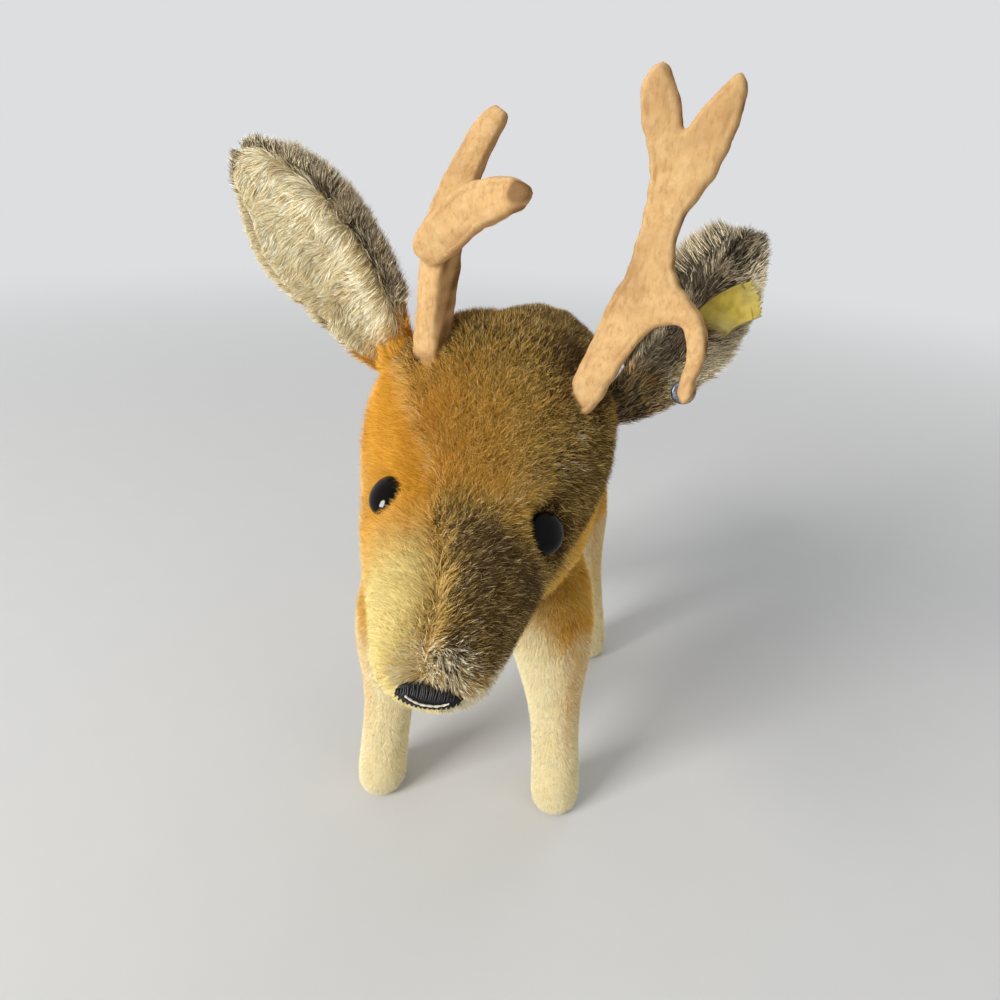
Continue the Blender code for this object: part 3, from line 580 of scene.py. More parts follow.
def headGrain(points, normals):
    head = inHead(points)
    side, back, rise = head.T
    facing = normals @ headAxes.T
    wobble = ripples(points, 6 * mm, 11)
    fine = ripples(points, 1.1 * mm, 12)
    right = np.interp(back, headLook["seamBack"], headLook["rightSeam"])
    left = np.interp(back, headLook["seamBack"], headLook["leftSeam"])
    upper = ramp(facing[:, 2], -0.25, 0.25) * ramp(back, 50, 34)
    snout = ramp(back + 1.5 * wobble[:, 0], -2, -25)
    soft = 0.8 + 1.8 * snout  # the seam is a sharp line on the forehead and melts away on the snout
    past = side - right - 2.0 * ramp(back, -6, 4) + 2.4 * ramp(back, 0, -12) + 0.3 * fine[:, 0]
    inRight = ramp(past, -soft, soft)
    inLeft = ramp(side + 0.8 * wobble[:, 1] + 0.5 * fine[:, 1], left + 2.5, left - 1.0)
    gusset = inRight * np.where(back < -8, 1, inLeft) * upper
    low = ramp(rise + 1.5 * wobble[:, 2], -8, -15) * ramp(facing[:, 2], 0.2, -0.4)
    cream = np.clip(snout * (1 - gusset) + 0.85 * low * (1 - gusset), 0, 1)
    cream = np.maximum(cream, 0.45 * ramp(side, -17, -23) * ramp(back, 22, 2) * ramp(rise, 6, -4))
    depth = ramp(past, 0, 16)  # the forehead darkens away from its right seam: partly its own colour, partly painted shade
    # the deer's left side past its seam, away from the key lamp: browner and darker, partly its own brown, partly
    # painted shade
    beyond = ramp(side, left - 1, left + 1.5) * ramp(facing[:, 2], -0.98, -0.65) * ramp(back, 34, 20)
    # the gusset browner away from its right seam, toward the deer's left: partly its own brown, partly painted shade
    brown = gusset * np.clip(0.28 + 0.62 * ramp(past, 1, 24) + 0.60 * ramp(back, 2, -8) + 0.10 * wobble[:, 1], 0, 1)
    brown = np.maximum(brown, (0.70 + 0.2 * snout) * beyond)
    stripe = np.maximum(gusset, beyond) * ramp(back, 0, -13) * ramp(back, -45, -38)
    stripe = stripe * ramp(past + 1.2 * fine[:, 1], -1.0, 2.5)
    byRight = np.exp(-(((side - 12) / 4.5) ** 2) - (((back + 6) / 5) ** 2)) * upper  # rusty by the left eye
    ridge = hump(past, 0.9, 0.8) * upper * ramp(back, 30, 18) * ramp(back, -34, -20)
    # the stripe darker toward the deer's left: partly its own dark brown, partly painted shade
    dark = stripe * (0.70 + 0.22 * ramp(past, 2, 12)) * (1 - 0.20 * beyond) * (1 - 0.35 * byRight)
    dark = dark + 0.08 * ridge * (1 - snout)
    # the gusset darker toward the deer's left, partly painted shade, and toward the crown
    dark = dark + 0.46 * gusset * ramp(side, 4, 20) * ramp(back, -2, 8) + 0.55 * gusset * ramp(back, 14, 32)
    # the deer's left cheek browner and darker: partly its own brown, partly painted shade
    flank = ramp(side, 14, 17) * ramp(rise, -24, -14) * ramp(back, -8, -2) * ramp(back, 40, 34)
    lead = ramp(past, -5, 0) * ramp(back, -8, -20) * ramp(back, -44, -38) * upper * (past < 1)
    # the jaw's underside on the deer's left browner and darker: partly its own brown, partly painted shade
    jaw = ramp(side, 5, 11) * ramp(facing[:, 2], -0.2, -0.6) * ramp(back, -34, -26)
    brown = np.maximum.reduce([brown, 0.80 * flank, 0.32 * lead, 0.72 * jaw])
    dark = np.maximum.reduce([dark, 0.45 * flank, 0.12 * lead, 0.30 * jaw])
    # painted shade on the deer's left side, away from the key lamp
    dark = dark + 0.22 * beyond * (1 - snout)
    rust = ramp(past, 1, -1.5) * ramp(back, -14, 0) * ramp(back, 38, 26) * ramp(rise, -9, 0)
    rust = np.maximum(rust * 0.85, 0.22 * gusset * (1 - depth) * ramp(back, -16, 0))
    rust = np.maximum(rust * (1 - flank), 0.8 * byRight)
    rust = np.maximum(rust, 0.55 * ramp(side, 12, 16) * hump(back, 4, 6) * upper)
    speck = ramp(fine[:, 2], 0.35, 1.1)
    edge = hump(past, -0.7, 0.8) * upper * ramp(back, -6, 2)
    clump = hump(side - left, -1.0, 3.0) * upper * ramp(back, -10, -2) * ramp(back, 24, 14)
    nose = np.linalg.norm(head - np.array(headLook["nosePoint"]), axis=1)
    silver = 0.45 * ramp(nose, 9, 4) + 0.03 * gusset
    silver = silver + speck * (0.12 * stripe * ramp(past, 14, 6) + 0.40 * clump) + 0.12 * edge
    white = ramp(nose, 19, 12) * ramp(side, 1, 5) * ramp(rise + 0.8 * fine[:, 0], -4.5, -7.5)
    silver = np.maximum(silver, 0.90 * white)
    dark, brown = dark * (1 - white), brown * (1 - 0.8 * white)
    cream = np.maximum(cream, 0.20 * edge + speck * 0.75 * clump)
    brown = brown * (1 - 0.7 * speck * clump)
    silver = np.maximum(silver, 0.35 * low * ramp(back, -20, -36))
    zones = np.stack([cream, *(np.clip(zone, 0, 1) for zone in (brown, dark, rust))], axis=1)
    outward = np.where(past > 0, 1.0, -1.0)[:, None]
    combed = outward * np.array([1.0, 0, 0]) + np.array([0, 0.35, -0.35])
    crown = np.stack([side / 25, np.full(len(side), 0.7), np.zeros(len(side))], axis=1)
    standing = (gusset * ramp(back, -14, -2))[:, None]
    flow = combed * (1 - standing) + 0.45 * crown * standing
    away = unit(head - np.array(headLook["nosePoint"]))
    near = (ramp(nose, 14, 6) * ramp(rise, -1, -5))[:, None]
    flow = unit(flow) * (1 - 0.6 * standing) * (1 - near) + away * near
    # some of it hangs over the nose's top
    overNose = ramp(np.abs(side - 1.2), 3.4, 1.2) * ramp(nose, 8.0, 5.0) * ramp(rise, -7, -5)
    flow = flow * (1 - overNose[:, None]) + np.array([0.0, -0.6, -1.0]) * overNose[:, None]
    byEye = np.zeros(len(points))
    for eye, drawnIn in headLook["eyes"]:  # the pile is trimmed and brushed away round the eyes
        gap = np.linalg.norm(head - np.array(eye), axis=1)
        share = min(1.0, drawnIn)
        close = ramp(gap, 9.5, 6.5) * share
        flow = flow * (1 - close[:, None]) + unit(head - np.array(eye)) * close[:, None]
        byEye = np.maximum(byEye, ramp(gap, 8.5, 5.5) * share)
    lift = (34 + 24 * standing[:, 0]) * (1 - 0.5 * byEye) + 12 * ramp(nose, 9, 6) * (1 - overNose)
    length = 3.9 - 0.8 * snout - 0.5 * standing[:, 0] - 1.3 * ramp(nose, 12, 6) * ramp(rise, -5, -9)
    return {
        "flow": fromHead(flow), "lift": lift, "zones": zones, "silver": np.clip(silver, 0, 1),
        "length": length * (1 - 0.55 * byEye), "thick": 1 + 0.35 * ramp(back, 20, 0),
        "stray": 1 + 1.3 * standing,
    }


def headSwell(points):
    head = inHead(points)
    side, back, rise = head.T
    swell = 0.40 + 0.25 * ramp(back, -5, -20) - 0.8 * ramp(back, -38, -43)
    swell = swell - 0.9 * ramp(side, -14, -20) * ramp(back, -16, -8) * ramp(back, 22, 10)
    for eye, drawnIn in headLook["eyes"]:
        swell = swell - drawnIn * ramp(np.linalg.norm(head - np.array(eye), axis=1), 9.5, 5.5)
    return swell


def bodySwell(points):
    x, y, z = (points / mm).T
    return 0.1 + (1.5 + 2.6 * ramp(x, 0, -12)) * ramp(y, 0, -30) * ramp(z, 132, 118)


def legSwell(points):
    x, y, z = (points / mm).T
    top = np.where(y < 30, np.where(x < 0, 2.4, 1.6), 1.2)
    return 0.70 + top * ramp(z, 32, 66) - 0.4 * ramp(z, 3, 0)


headSkin = makeSkin("headSkin", ("head_cover", "head_stuffing"), 1.1, 5, headSwell)
bodySkin = makeSkin("bodySkin", ("body_cover", "body_stuffing"), 1.5, 6, bodySwell)
legSkins = {
    leg: makeSkin(leg + "LegSkin", (leg + "_leg_cover", leg + "_leg_stuffing"), 1.2, 4, legSwell)
    for leg in ("front_left", "front_right", "hind_left", "hind_right")
}
tailSkin = makeSkin("tailSkin", ("tail",), 0.7, 3, -0.6)
print("skins made")

headTree, bodyTree = treeOf(headSkin), treeOf(bodySkin)
legTrees = {leg: treeOf(skin) for leg, skin in legSkins.items()}
eyeTrees = treeOf(nodes["eye_left"]), treeOf(nodes["eye_right"])
noseTree = treeOf(nodes["nose_embroidery"], nodes["mouth_thread"])
antlerTree = treeOf(nodes["antler_left"], nodes["antler_right"])
earTree = treeOf(nodes["ear_back_left"], nodes["ear_back_right"])

markSkin(headSkin, headGrain, 21)
dress(headSkin, mohair["gold"], "root", "gold_mohair", "head_cover", "head_stuffing")
headClear = [
    (eyeTrees[0], 0.35 * mm), (eyeTrees[1], 0.05 * mm), (noseTree, 0.25 * mm), (antlerTree, 1.4 * mm),
    (earTree, 0.4 * mm),
]
growHalves(
    ("headPileLeft", "headPileRight"), headSkin, headGrain,
    lambda points: ramp(inHead(points)[:, 0], *headLook["half"]), 31, [bodyTree], headClear, **headLook["pile"],
)


# Body
bodyValues = {
    "length": 4.4, "lift": 34, "half": (-4.4, -4.39),
    "pile": {"count": 150000, "tuft": 0.5, "wide": 0.30, "loose": 0.35},
}


def bodyGrain(points, normals):
    x, y, z = (points / mm).T
    wobble = ripples(points, 9 * mm, 41)
    fine = ripples(points, 1.3 * mm, 42)
    front = ramp(y, -10, -38)
    belly = ramp(normals[:, 2] + 0.2 * wobble[:, 0], -0.35, -0.75)
    backLine = ramp(normals[:, 2], 0.35, 0.8) * ramp(y, -30, -5)
    rump = ramp(normals[:, 1] + 0.1 * wobble[:, 2], 0.65, 0.9) * ramp(z, 128, 116)
    cream = np.clip(0.85 * belly + 0.8 * rump, 0, 1)
    paintedHeadShadow = ramp(x, 2, 12) * ramp(y, -18, -30) * ramp(z, 84, 100)  # painted shadow of the head, on the left beneath it
    brown = np.clip(0.85 * backLine + 0.75 * paintedHeadShadow + 0.10 + 0.12 * wobble[:, 1], 0, 1) * (1 - cream)
    rust = np.clip(0.35 * front + 0.15 * wobble[:, 2], 0, 1)
    flow = np.stack([0.05 * np.sign(x), 0.9 - 0.5 * front, -0.45 - 0.6 * front], axis=1)
    speck = ramp(fine[:, 2], 0.7, 1.2)
    zones = np.stack([cream, brown, 0.70 * backLine + 0.25 * paintedHeadShadow, rust], axis=1)
    return evenLook(flow, bodyValues["lift"], bodyValues["length"], zones, 0.12 * speck)


markSkin(bodySkin, bodyGrain, 51)
dress(bodySkin, mohair["gold"], "root", "gold_mohair", "body_cover", "body_stuffing")
growHalves(
    ("bodyPileLeft", "bodyPileRight"), bodySkin, bodyGrain,
    lambda points: ramp(points[:, 0] / mm, *bodyValues["half"]), 61, [headTree, *legTrees.values()],
    [(treeOf(nodes["tail"]), 0.2 * mm)], **bodyValues["pile"],
)


# Legs
legValues = {
    "footLength": 1.7, "topLength": 3.4, "pile": {"count": 80000, "tuft": 0.15, "wide": 0.22, "loose": 0.28},
}


def legGrain(leg):
    outer = 1 if "left" in leg else -1

    def grain(points, normals):
        x, y, z = (points / mm).T
        wobble = ripples(points, 8 * mm, 81)
        fine = ripples(points, 1.2 * mm, 82)
        top = ramp(z + 4 * wobble[:, 0], 62, 88)
        outside = ramp(normals[:, 0] * outer, 0.1, 0.8)
        cream = np.clip(1.0 - 0.80 * top - 0.55 * outside * ramp(z, 14, 50), 0, 1)
        rust = np.clip(0.54 * top + 0.10 * outside, 0, 1)
        hoof = ramp(z + 1.5 * wobble[:, 1], 9, 2)
        silver = np.clip(0.22 + 0.20 * hoof + 0.10 * ramp(fine[:, 1], 0.6, 1.2) - 0.32 * top, 0, 1)
        brown = np.clip(0.06 * hoof + 0.46 * top, 0, 1)
        flow = np.tile([0.10 * outer, 0.15, -1.0], (len(x), 1))
        length = legValues["footLength"] + (legValues["topLength"] - legValues["footLength"]) * ramp(z, 45, 90)
        return {
            "flow": flow, "lift": 30 + 6 * (1 - top), "length": length,
            "zones": np.stack([cream, brown, np.zeros(len(x)), rust], axis=1), "silver": silver,
            "thick": (1 - 0.3 * top) * ramp(z, 0.3, 0.9),
        }
    return grain


for number, (leg, skin) in enumerate(legSkins.items()):
    markSkin(skin, legGrain(leg), 91 + number)
    dress(skin, mohair["cream"], "root", "cream_mohair", leg + "_leg_cover", leg + "_leg_stuffing")
    others = [tree for name, tree in legTrees.items() if name != leg]
    pile = growPile(
        leg + "LegPile", skin, legGrain(leg), 101 + 10 * number, [bodyTree, *others], [], **legValues["pile"]
    )
    dress(pile, mohair["cream"], "root", "cream_mohair")


# Tail
tailValues = {"lift": 32, "length": 4.8, "silver": 0.1, "pile": {"count": 18000, "tuft": 0.6, "wide": 0.24}}


def tailGrain(points, normals):
    count = len(points)
    under = ramp(normals[:, 1], 0.2, -0.5)
    zones = np.stack([0.35 + 0.5 * under, np.full(count, 0.15), np.zeros(count), np.full(count, 0.3)], axis=1)
    flow = np.tile([0.0, 0.55, -0.85], (count, 1))
    return evenLook(flow, tailValues["lift"], tailValues["length"], zones, tailValues["silver"])


markSkin(tailSkin, tailGrain, 141)
dress(tailSkin, mohair["gold"], "scut", "gold_mohair", "tail")
tailPile = growPile("tailPile", tailSkin, tailGrain, 142, [bodyTree], [], **tailValues["pile"])
dress(tailPile, mohair["gold"], "scut", "gold_mohair")
print("body, legs and tail furred")


# Ribbon: its place at the stud, the way it lies, its colours and its middle line
ribbonValues = {
    "base": (43.99, -21.85, 150.51), "out": (0.1673, -0.98216, 0.0858), "side": (0.853, 0.100, -0.513),
    # its yellows are dulled and darkened: partly the ribbon's own dull yellow, partly painted shade
    "width": 9.0, "length": 32.0, "thick": 0.32, "yellow": (0.47, 0.35, 0.034), "deep": (0.25, 0.175, 0.012),
    "weave": (0.56, 0.43, 0.07), "columns": 22, "rows": 72, "freeFrom": 0.3,
    # share of the length from the stud; across and down in the photograph's frame; lift from the flat; the side's turn
    "line": (
        (-0.14, 679, 409, 0.0, 0), (0.0, 683, 392, 0.0, 0), (0.18, 694, 364, -0.3, 0), (0.36, 707, 328, -0.2, 8),
        (0.52, 722, 303, 0.8, 22), (0.68, 746, 288, 2.4, 32), (0.86, 773, 278, 3.6, 38),
    ),
}

# Ears: root, along and the way the lining faces, in millimetres and directions
earValues = {
    "left": {
        "root": (23.33, -17.50, 140.36), "along": (0.586, 0.200, 0.785), "facing": (0.607, 0.393, -0.691),
        "rolled": ((12, 20, 28, 36, 44, 50), (0, 1.0, 2.2, 3.0, 3.0, 2.2)),
    },
    "right": {
        "root": (-22.08, -28.65, 153.03), "along": (-0.670, 0.064, 0.740), "facing": (-0.032, -0.999, 0.019),
        "tucked": ((2, 9.4, 14.7, 19.5, 24, 28.3, 32.6, 37), (0, 2.5, 3.7, 3.4, 2.6, 1.6, 0.7, 0)),
    },
}
earPiles = {
    "back": {"count": 46000, "tuft": 0.3, "wide": 0.18, "kind": "bent", "loose": 0.16},
    "lining": {"count": 30000, "tuft": 0.25, "wide": 0.20, "kind": "bent", "loose": 0.13},
}


def earFrame(ear, points, normals):
    # reach along the ear, place across it, how far a face looks the lining's way, and the ear's directions
    values = earValues[ear]
    along, facing = np.array(values["along"]), np.array(values["facing"])
    across = np.cross(along, facing)
    fromRoot = points / mm - np.array(values["root"])
    return fromRoot @ along, fromRoot @ across, normals @ facing, along, across, facing


def earWidth(ear, reach, over):
    # the ear's width at each distance from its root, on the point's own side of the middle
    values = earValues[ear]
    return np.where(over > 0, *(np.interp(reach, values["reach"], values[side]) for side in ("upper", "lower")))


for ear, values in earValues.items():
    places, _ = cornersOf(nodes["ear_back_" + ear].data)
    reach, over = earFrame(ear, places, places)[:2]
    stops = np.arange(2, 52, 3.0)
    values["reach"] = stops
    for side, sign in (("upper", 1), ("lower", -1)):
        values[side] = [(sign * over[np.abs(reach - stop) < 3]).max(initial=2.0) for stop in stops]


def backGrain(ear):
    def grain(points, normals):
        reach, over, faces, along, across, facing = earFrame(ear, points, normals)
        wobble = ripples(points, 4 * mm, 151)
        fine = ripples(points, 1.1 * mm, 152)
        share = over / earWidth(ear, reach, over)
        tall = 1.0 if ear == "left" else 0.0
        base = ramp(reach + 1.5 * wobble[:, 0], 12 + 7 * tall, 6 + 3 * tall)
        rim = np.maximum(ramp(np.abs(share), 0.72, 0.95), tall * ramp(share, 0.45, 0.75)) * (1 - base)
        upper = ramp(share, 0.5, 0.9)
        lower = ramp(-share, 0.5, 0.9)
        tip = ramp(reach, 38, 48)
        grey = 1 - base
        side = np.sign(share)[:, None]
        flow = 0.9 * along + 0.6 * side * across
        fringe = (0.15 + 0.6 * tall * lower)[:, None] * along + side * across + 0.25 * (1 - tall) * facing
        flow = flow * (1 - rim[:, None]) + fringe * rim[:, None]
        speck = ramp(fine[:, 1], 0.2, 1.0)
        # painted shade: a dark band along the ear's fold
        band = hump(share, 0.50 if tall else 0.72, 0.20) * ramp(reach, 10, 16) * ramp(reach, 50, 44)
        # painted shade: the left ear's back darker than the right's, along its rim and at its root too
        dark = (0.30 + 0.30 * tall) * grey * (0.7 + 0.4 * wobble[:, 1]) * (1 - rim * (1 - 0.55 * tall))
        dark = np.clip(dark + 0.90 * band + 0.6 * tall * base, 0, 1)
        pale = lower * grey * ramp(reach, 6, 12)
        fromStud = points / mm - np.array(ribbonValues["base"])
        down = fromStud @ along
        aside = fromStud @ np.array(ribbonValues["side"])
        overRibbon = ramp(down, 17, 13) * ramp(down, 3, 5) * ramp(np.abs(aside), 8, 6) * (faces < 0) * tall
        rolled = tall * rim * (share > 0)
        length = 3.4 + 1.6 * rim * upper + 4.6 * rolled * (1 - 0.3 * tip) - 0.8 * lower - 0.4 * tip + 2.0 * overRibbon
        cream = 0.9 * (1 - tall) * pale
        # the left ear's root browner: partly its own colour, partly painted shade
        brown = np.maximum(grey * (0.95 - cream), 0.6 * tall * base)
        return {
            "flow": flow, "lift": 28 + 10 * rim + 14 * rolled + 20 * overRibbon, "length": length,
            "zones": np.stack([cream, brown, dark * (1 - (1 - 0.3 * tall) * pale), 0.65 * base], axis=1),
            "silver": np.clip(grey * (0.04 + 0.16 * speck) + (0.55 - 0.15 * tall) * pale + 0.15 * tip, 0, 1),
            "thick": 1 + 1.6 * rim,
        }
    return grain


def liningGrain(ear):
    def grain(points, normals):
        reach, over, faces, along, across, _ = earFrame(ear, points, normals)
        wobble = ripples(points, 5 * mm, 161)
        fine = ripples(points, 1.3 * mm, 162)
        share = over / earWidth(ear, reach, over)
        flow = -1.0 * across + (0.05 - 0.35 * ramp(share, 0.2, -0.6))[:, None] * along + 0.08 * wobble
        base = ramp(reach, 11, 4)
        tip = ramp(reach, 38, 47)
        brown = 0.20 * base + 0.35 * hump(share, 0.85, 0.12)
        return {
            "flow": flow, "lift": 20 + 5 * fine[:, 1],
            "length": 5.6 - 3.4 * ramp(share, 0.1, -0.8) - 1.6 * base - 1.4 * tip,
            "zones": np.stack([1 - 0.7 * base, brown, np.zeros(len(share)), 0.6 * base], axis=1),
            "silver": np.clip(0.15 + 0.7 * ramp(fine[:, 0], -0.2, 0.9) - 0.9 * base, 0, 1),
            "thick": ramp(faces, -0.5, -0.2),
        }
    return grain


earBackTrees = {}
studTree = treeOf(nodes["ear_stud"])
for number, ear in enumerate(("left", "right")):
    side, earBody = ear.title(), ear + "_ear"
    backSkin = makeSkin("earBackSkin" + side, ("ear_back_" + ear,), 0.6, 3, -0.3)
    liningSkin = makeSkin("earLiningSkin" + side, ("ear_lining_" + ear,), 0.45, 2)
    for skin in (backSkin, liningSkin):  # the right one's lower rim runs in, the left one's upper rim is rolled back
        places, normals = cornersOf(skin.data)
        reach, over, _, _, across, facing = earFrame(ear, places, normals)
        share = over / earWidth(ear, reach, over)
        if ear == "right":
            moved = np.outer(np.interp(reach, *earValues["right"]["tucked"]) * ramp(-share, 0.1, 1.0), across)
        else:
            moved = np.outer(np.interp(reach, *earValues["left"]["rolled"]) * ramp(share, 0.1, 1.0), across - facing)
        movePoints(skin, places + moved * mm)
    earBackTrees[ear] = backTree = treeOf(backSkin)
    clearings = {
        "back": [(treeOf(liningSkin), 0.45 * mm), (studTree, 1.1 * mm)], "lining": [(backTree, 0.05 * mm)],
    }
    for layer, skin, grain, dye, slot, seed in (
        ("back", backSkin, backGrain(ear), "grey", "grey_mohair", 181),
        ("lining", liningSkin, liningGrain(ear), "lining", "cream_lining", 185),
    ):
        markSkin(skin, grain, seed - 10 + number)
        dress(skin, mohair[dye], earBody, slot, f"ear_{layer}_{ear}")
        name = f"ear{layer.title()}Pile{side}"
        pile = growPile(name, skin, grain, seed + 10 * number, [headTree], clearings[layer], **earPiles[layer])
        dress(pile, mohair[dye], earBody, slot)
print("ears furred")


# Antlers of felt, sewn along their edges, with a short nap
antlerValues = {
    # the seam colour marks the sewn seams and also paints shade in hollows and on faces away from the key lamp; the
    # shade colour is the deepest painted shade
    "felt": (0.70, 0.43, 0.18), "pale": (0.78, 0.52, 0.245), "worn": (0.52, 0.28, 0.11), "seamAndShade": (0.40, 0.20, 0.075),
    "shade": (0.10, 0.048, 0.016),
    "voxel": 0.5, "napLength": 0.55, "nap": {"count": 60000, "wide": 0.09}, "half": 2.6, "rounding": 1.5,
    "stitchIn": 1.7, "grid": 0.4, "ringSteps": 28,
    "foot": ((-12, -25), 4.0),  # over these heights the left one's foot is brought this far forward
    # the left antler's outline in the photograph's frame
    "outline": (
        (585.5, 417.0), (572.8, 404.8), (572.8, 376.7), (579.1, 367.8), (590.6, 343.6), (602.1, 315.5), (614.8, 291.3),
        (626.8, 273.4), (636.5, 241.5), (643.7, 216.0), (648.0, 190.5), (650.6, 167.6), (648.0, 149.7), (643.7, 131.8),
        (640.6, 108.9), (641.1, 88.5), (648.0, 71.9), (658.2, 63.5), (664.6, 61.7), (670.2, 65.5), (676.1, 82.1),
        (681.2, 99.9), (684.0, 116.5), (684.5, 135.0), (695.2, 116.5), (710.5, 98.7), (723.3, 85.9), (736.0, 74.4),
        (742.4, 70.6), (747.5, 75.7), (749.3, 85.9), (747.5, 101.2), (741.6, 121.6), (733.5, 142.0), (723.3, 165.0),
        (710.5, 185.4), (695.2, 203.3), (685.0, 218.6), (678.6, 236.4), (675.3, 254.3), (676.1, 269.6), (679.9, 284.9),
        (687.6, 295.1), (697.8, 307.9), (705.4, 323.2), (708.7, 341.0), (707.4, 356.3), (701.8, 369.1), (696.5, 379.3),
        (695.2, 394.6), (690.1, 403.5), (682.4, 406.8), (678.1, 401.0), (678.1, 384.4), (681.2, 374.2), (685.0, 364.0),
        (687.0, 347.0), (686.0, 337.0), (681.5, 328.0), (672.2, 325.2), (662.0, 326.2), (653.1, 329.5), (644.2, 337.2),
        (635.3, 348.7), (626.3, 360.2), (617.4, 374.2), (608.5, 389.5), (598.3, 404.8), (590.6, 413.7),
    ),
    # the right antler's two limbs in the photograph's frame: across, down, depth, half width, half thickness and turn
    "limbs": (
        (
            (431, 366, 173.0, 3.3, 2.6, 30), (431, 352, 170.5, 3.6, 3.2, 34), (433.4, 327, 167.5, 3.0, 4.1, 38),
            (437.5, 288, 165, 3.1, 4.4, 38), (441, 262, 163.5, 3.3, 4.4, 36), (443, 238, 162, 3.8, 3.8, 32),
            (449, 212, 161, 3.9, 3.0, 28), (460, 183, 159.5, 3.6, 2.5, 25), (472, 157, 158, 3.2, 2.3, 25),
            (485, 133, 156.5, 2.9, 2.2, 25), (496, 117, 155.5, 2.4, 2.0, 25), (502, 109, 155, 1.5, 1.4, 25),
        ),
        (
            (424, 255, 160, 2.4, 1.9, 5), (431, 246, 157.5, 4.2, 2.6, 7), (448, 229, 153, 4.6, 2.6, 8),
            (471, 208, 147, 4.5, 2.4, 8), (495, 199, 141, 3.9, 2.3, 8), (512, 195, 137.5, 3.1, 2.1, 8),
            (523, 196, 135.8, 2.0, 1.6, 8), (528, 198, 135, 0.9, 0.8, 8),
        ),
    ),
}


def feltFinish():
    finish = Finish("antlerFelt")
    seamAndShade = finish.attribute("feltSeam")
    reach = finish.attribute("pileReach")
    matted = finish.noise(420, 5, rough=0.65)
    patches = finish.noise(90, 3)
    colour = finish.blend(matted.between(0.35, 0.7), antlerValues["felt"], antlerValues["pale"])
    colour = finish.blend(patches.between(0.5, 0.75) * 0.5, colour, antlerValues["worn"])
    fibres = finish.add("ShaderNodeMapping", {}, {"Vector": finish.place(), "Scale": (1.0, 1.0, 0.35)})
    streaks = finish.noise(1000, 4, fibres, 0.7)
    colour = finish.blend(streaks.between(0.46, 0.70) * 0.66, colour, antlerValues["worn"])
    # the seams, and painted shade in hollows and on faces turned from the key lamp, deepest where that mask is
    # strongest
    colour = finish.blend(seamAndShade * 0.8, colour, antlerValues["seamAndShade"])
    colour = finish.blend(seamAndShade.between(0.55, 1.1) * 0.8, colour, antlerValues["shade"])
    colour = finish.add("ShaderNodeHueSaturation", {}, {"Value": 0.93 + 0.12 * reach, "Color": colour})
    return finish.shaded(
        bump=(matted + 0.4 * finish.noise(1400, 2), 0.4, 0.25 * mm), Base_Color=colour, Roughness=0.93,
        Specular_IOR_Level=0.08,
    )


felt = feltFinish()


def fromPhoto(across, down, depth):
    # the place, in millimetres, seen at a spot of the photograph's frame at a depth from the camera
    ray = ahead + cameraRight * ((across - 500) / 751) + cameraUp * ((500 - down) / 751)
    return cameraPlace + np.array(ray) * depth


def onPlane(across, down, point, out):
    # the place seen at a spot of the photograph's frame on a plane through a point
    ray = fromPhoto(across, down, 1.0) - cameraPlace
    return cameraPlace + ray * ((point - cameraPlace) @ out / (ray @ out))


def mainAxes(places):
    # a piece's own directions, from its longest to its thinnest
    return np.linalg.svd(places - places.mean(axis=0), full_matrices=False)[2]


def evened(line, times):
    for _ in range(times):
        line[1:-1] = 0.25 * line[:-2] + 0.5 * line[1:-1] + 0.25 * line[2:]
    return line


def toOutline(spots, outline):
    # distance from each spot to an outline, and whether it lies inside
    nearest = np.full(spots.shape[:-1], 1e9)
    crossings = np.zeros(spots.shape[:-1], int)
    for first, second in zip(outline, np.roll(outline, -1, axis=0)):
        edge = second - first
        share = np.clip(((spots - first) @ edge) / (edge @ edge), 0, 1)
        nearest = np.minimum(nearest, np.linalg.norm(spots - first - share[..., None] * edge, axis=-1))
        spans = (first[1] > spots[..., 1]) != (second[1] > spots[..., 1])
        with np.errstate(divide="ignore", invalid="ignore"):
            cut = first[0] + (spots[..., 1] - first[1]) / edge[1] * edge[0]
        crossings += spans & (spots[..., 0] < cut)
    return nearest, crossings % 2 == 1


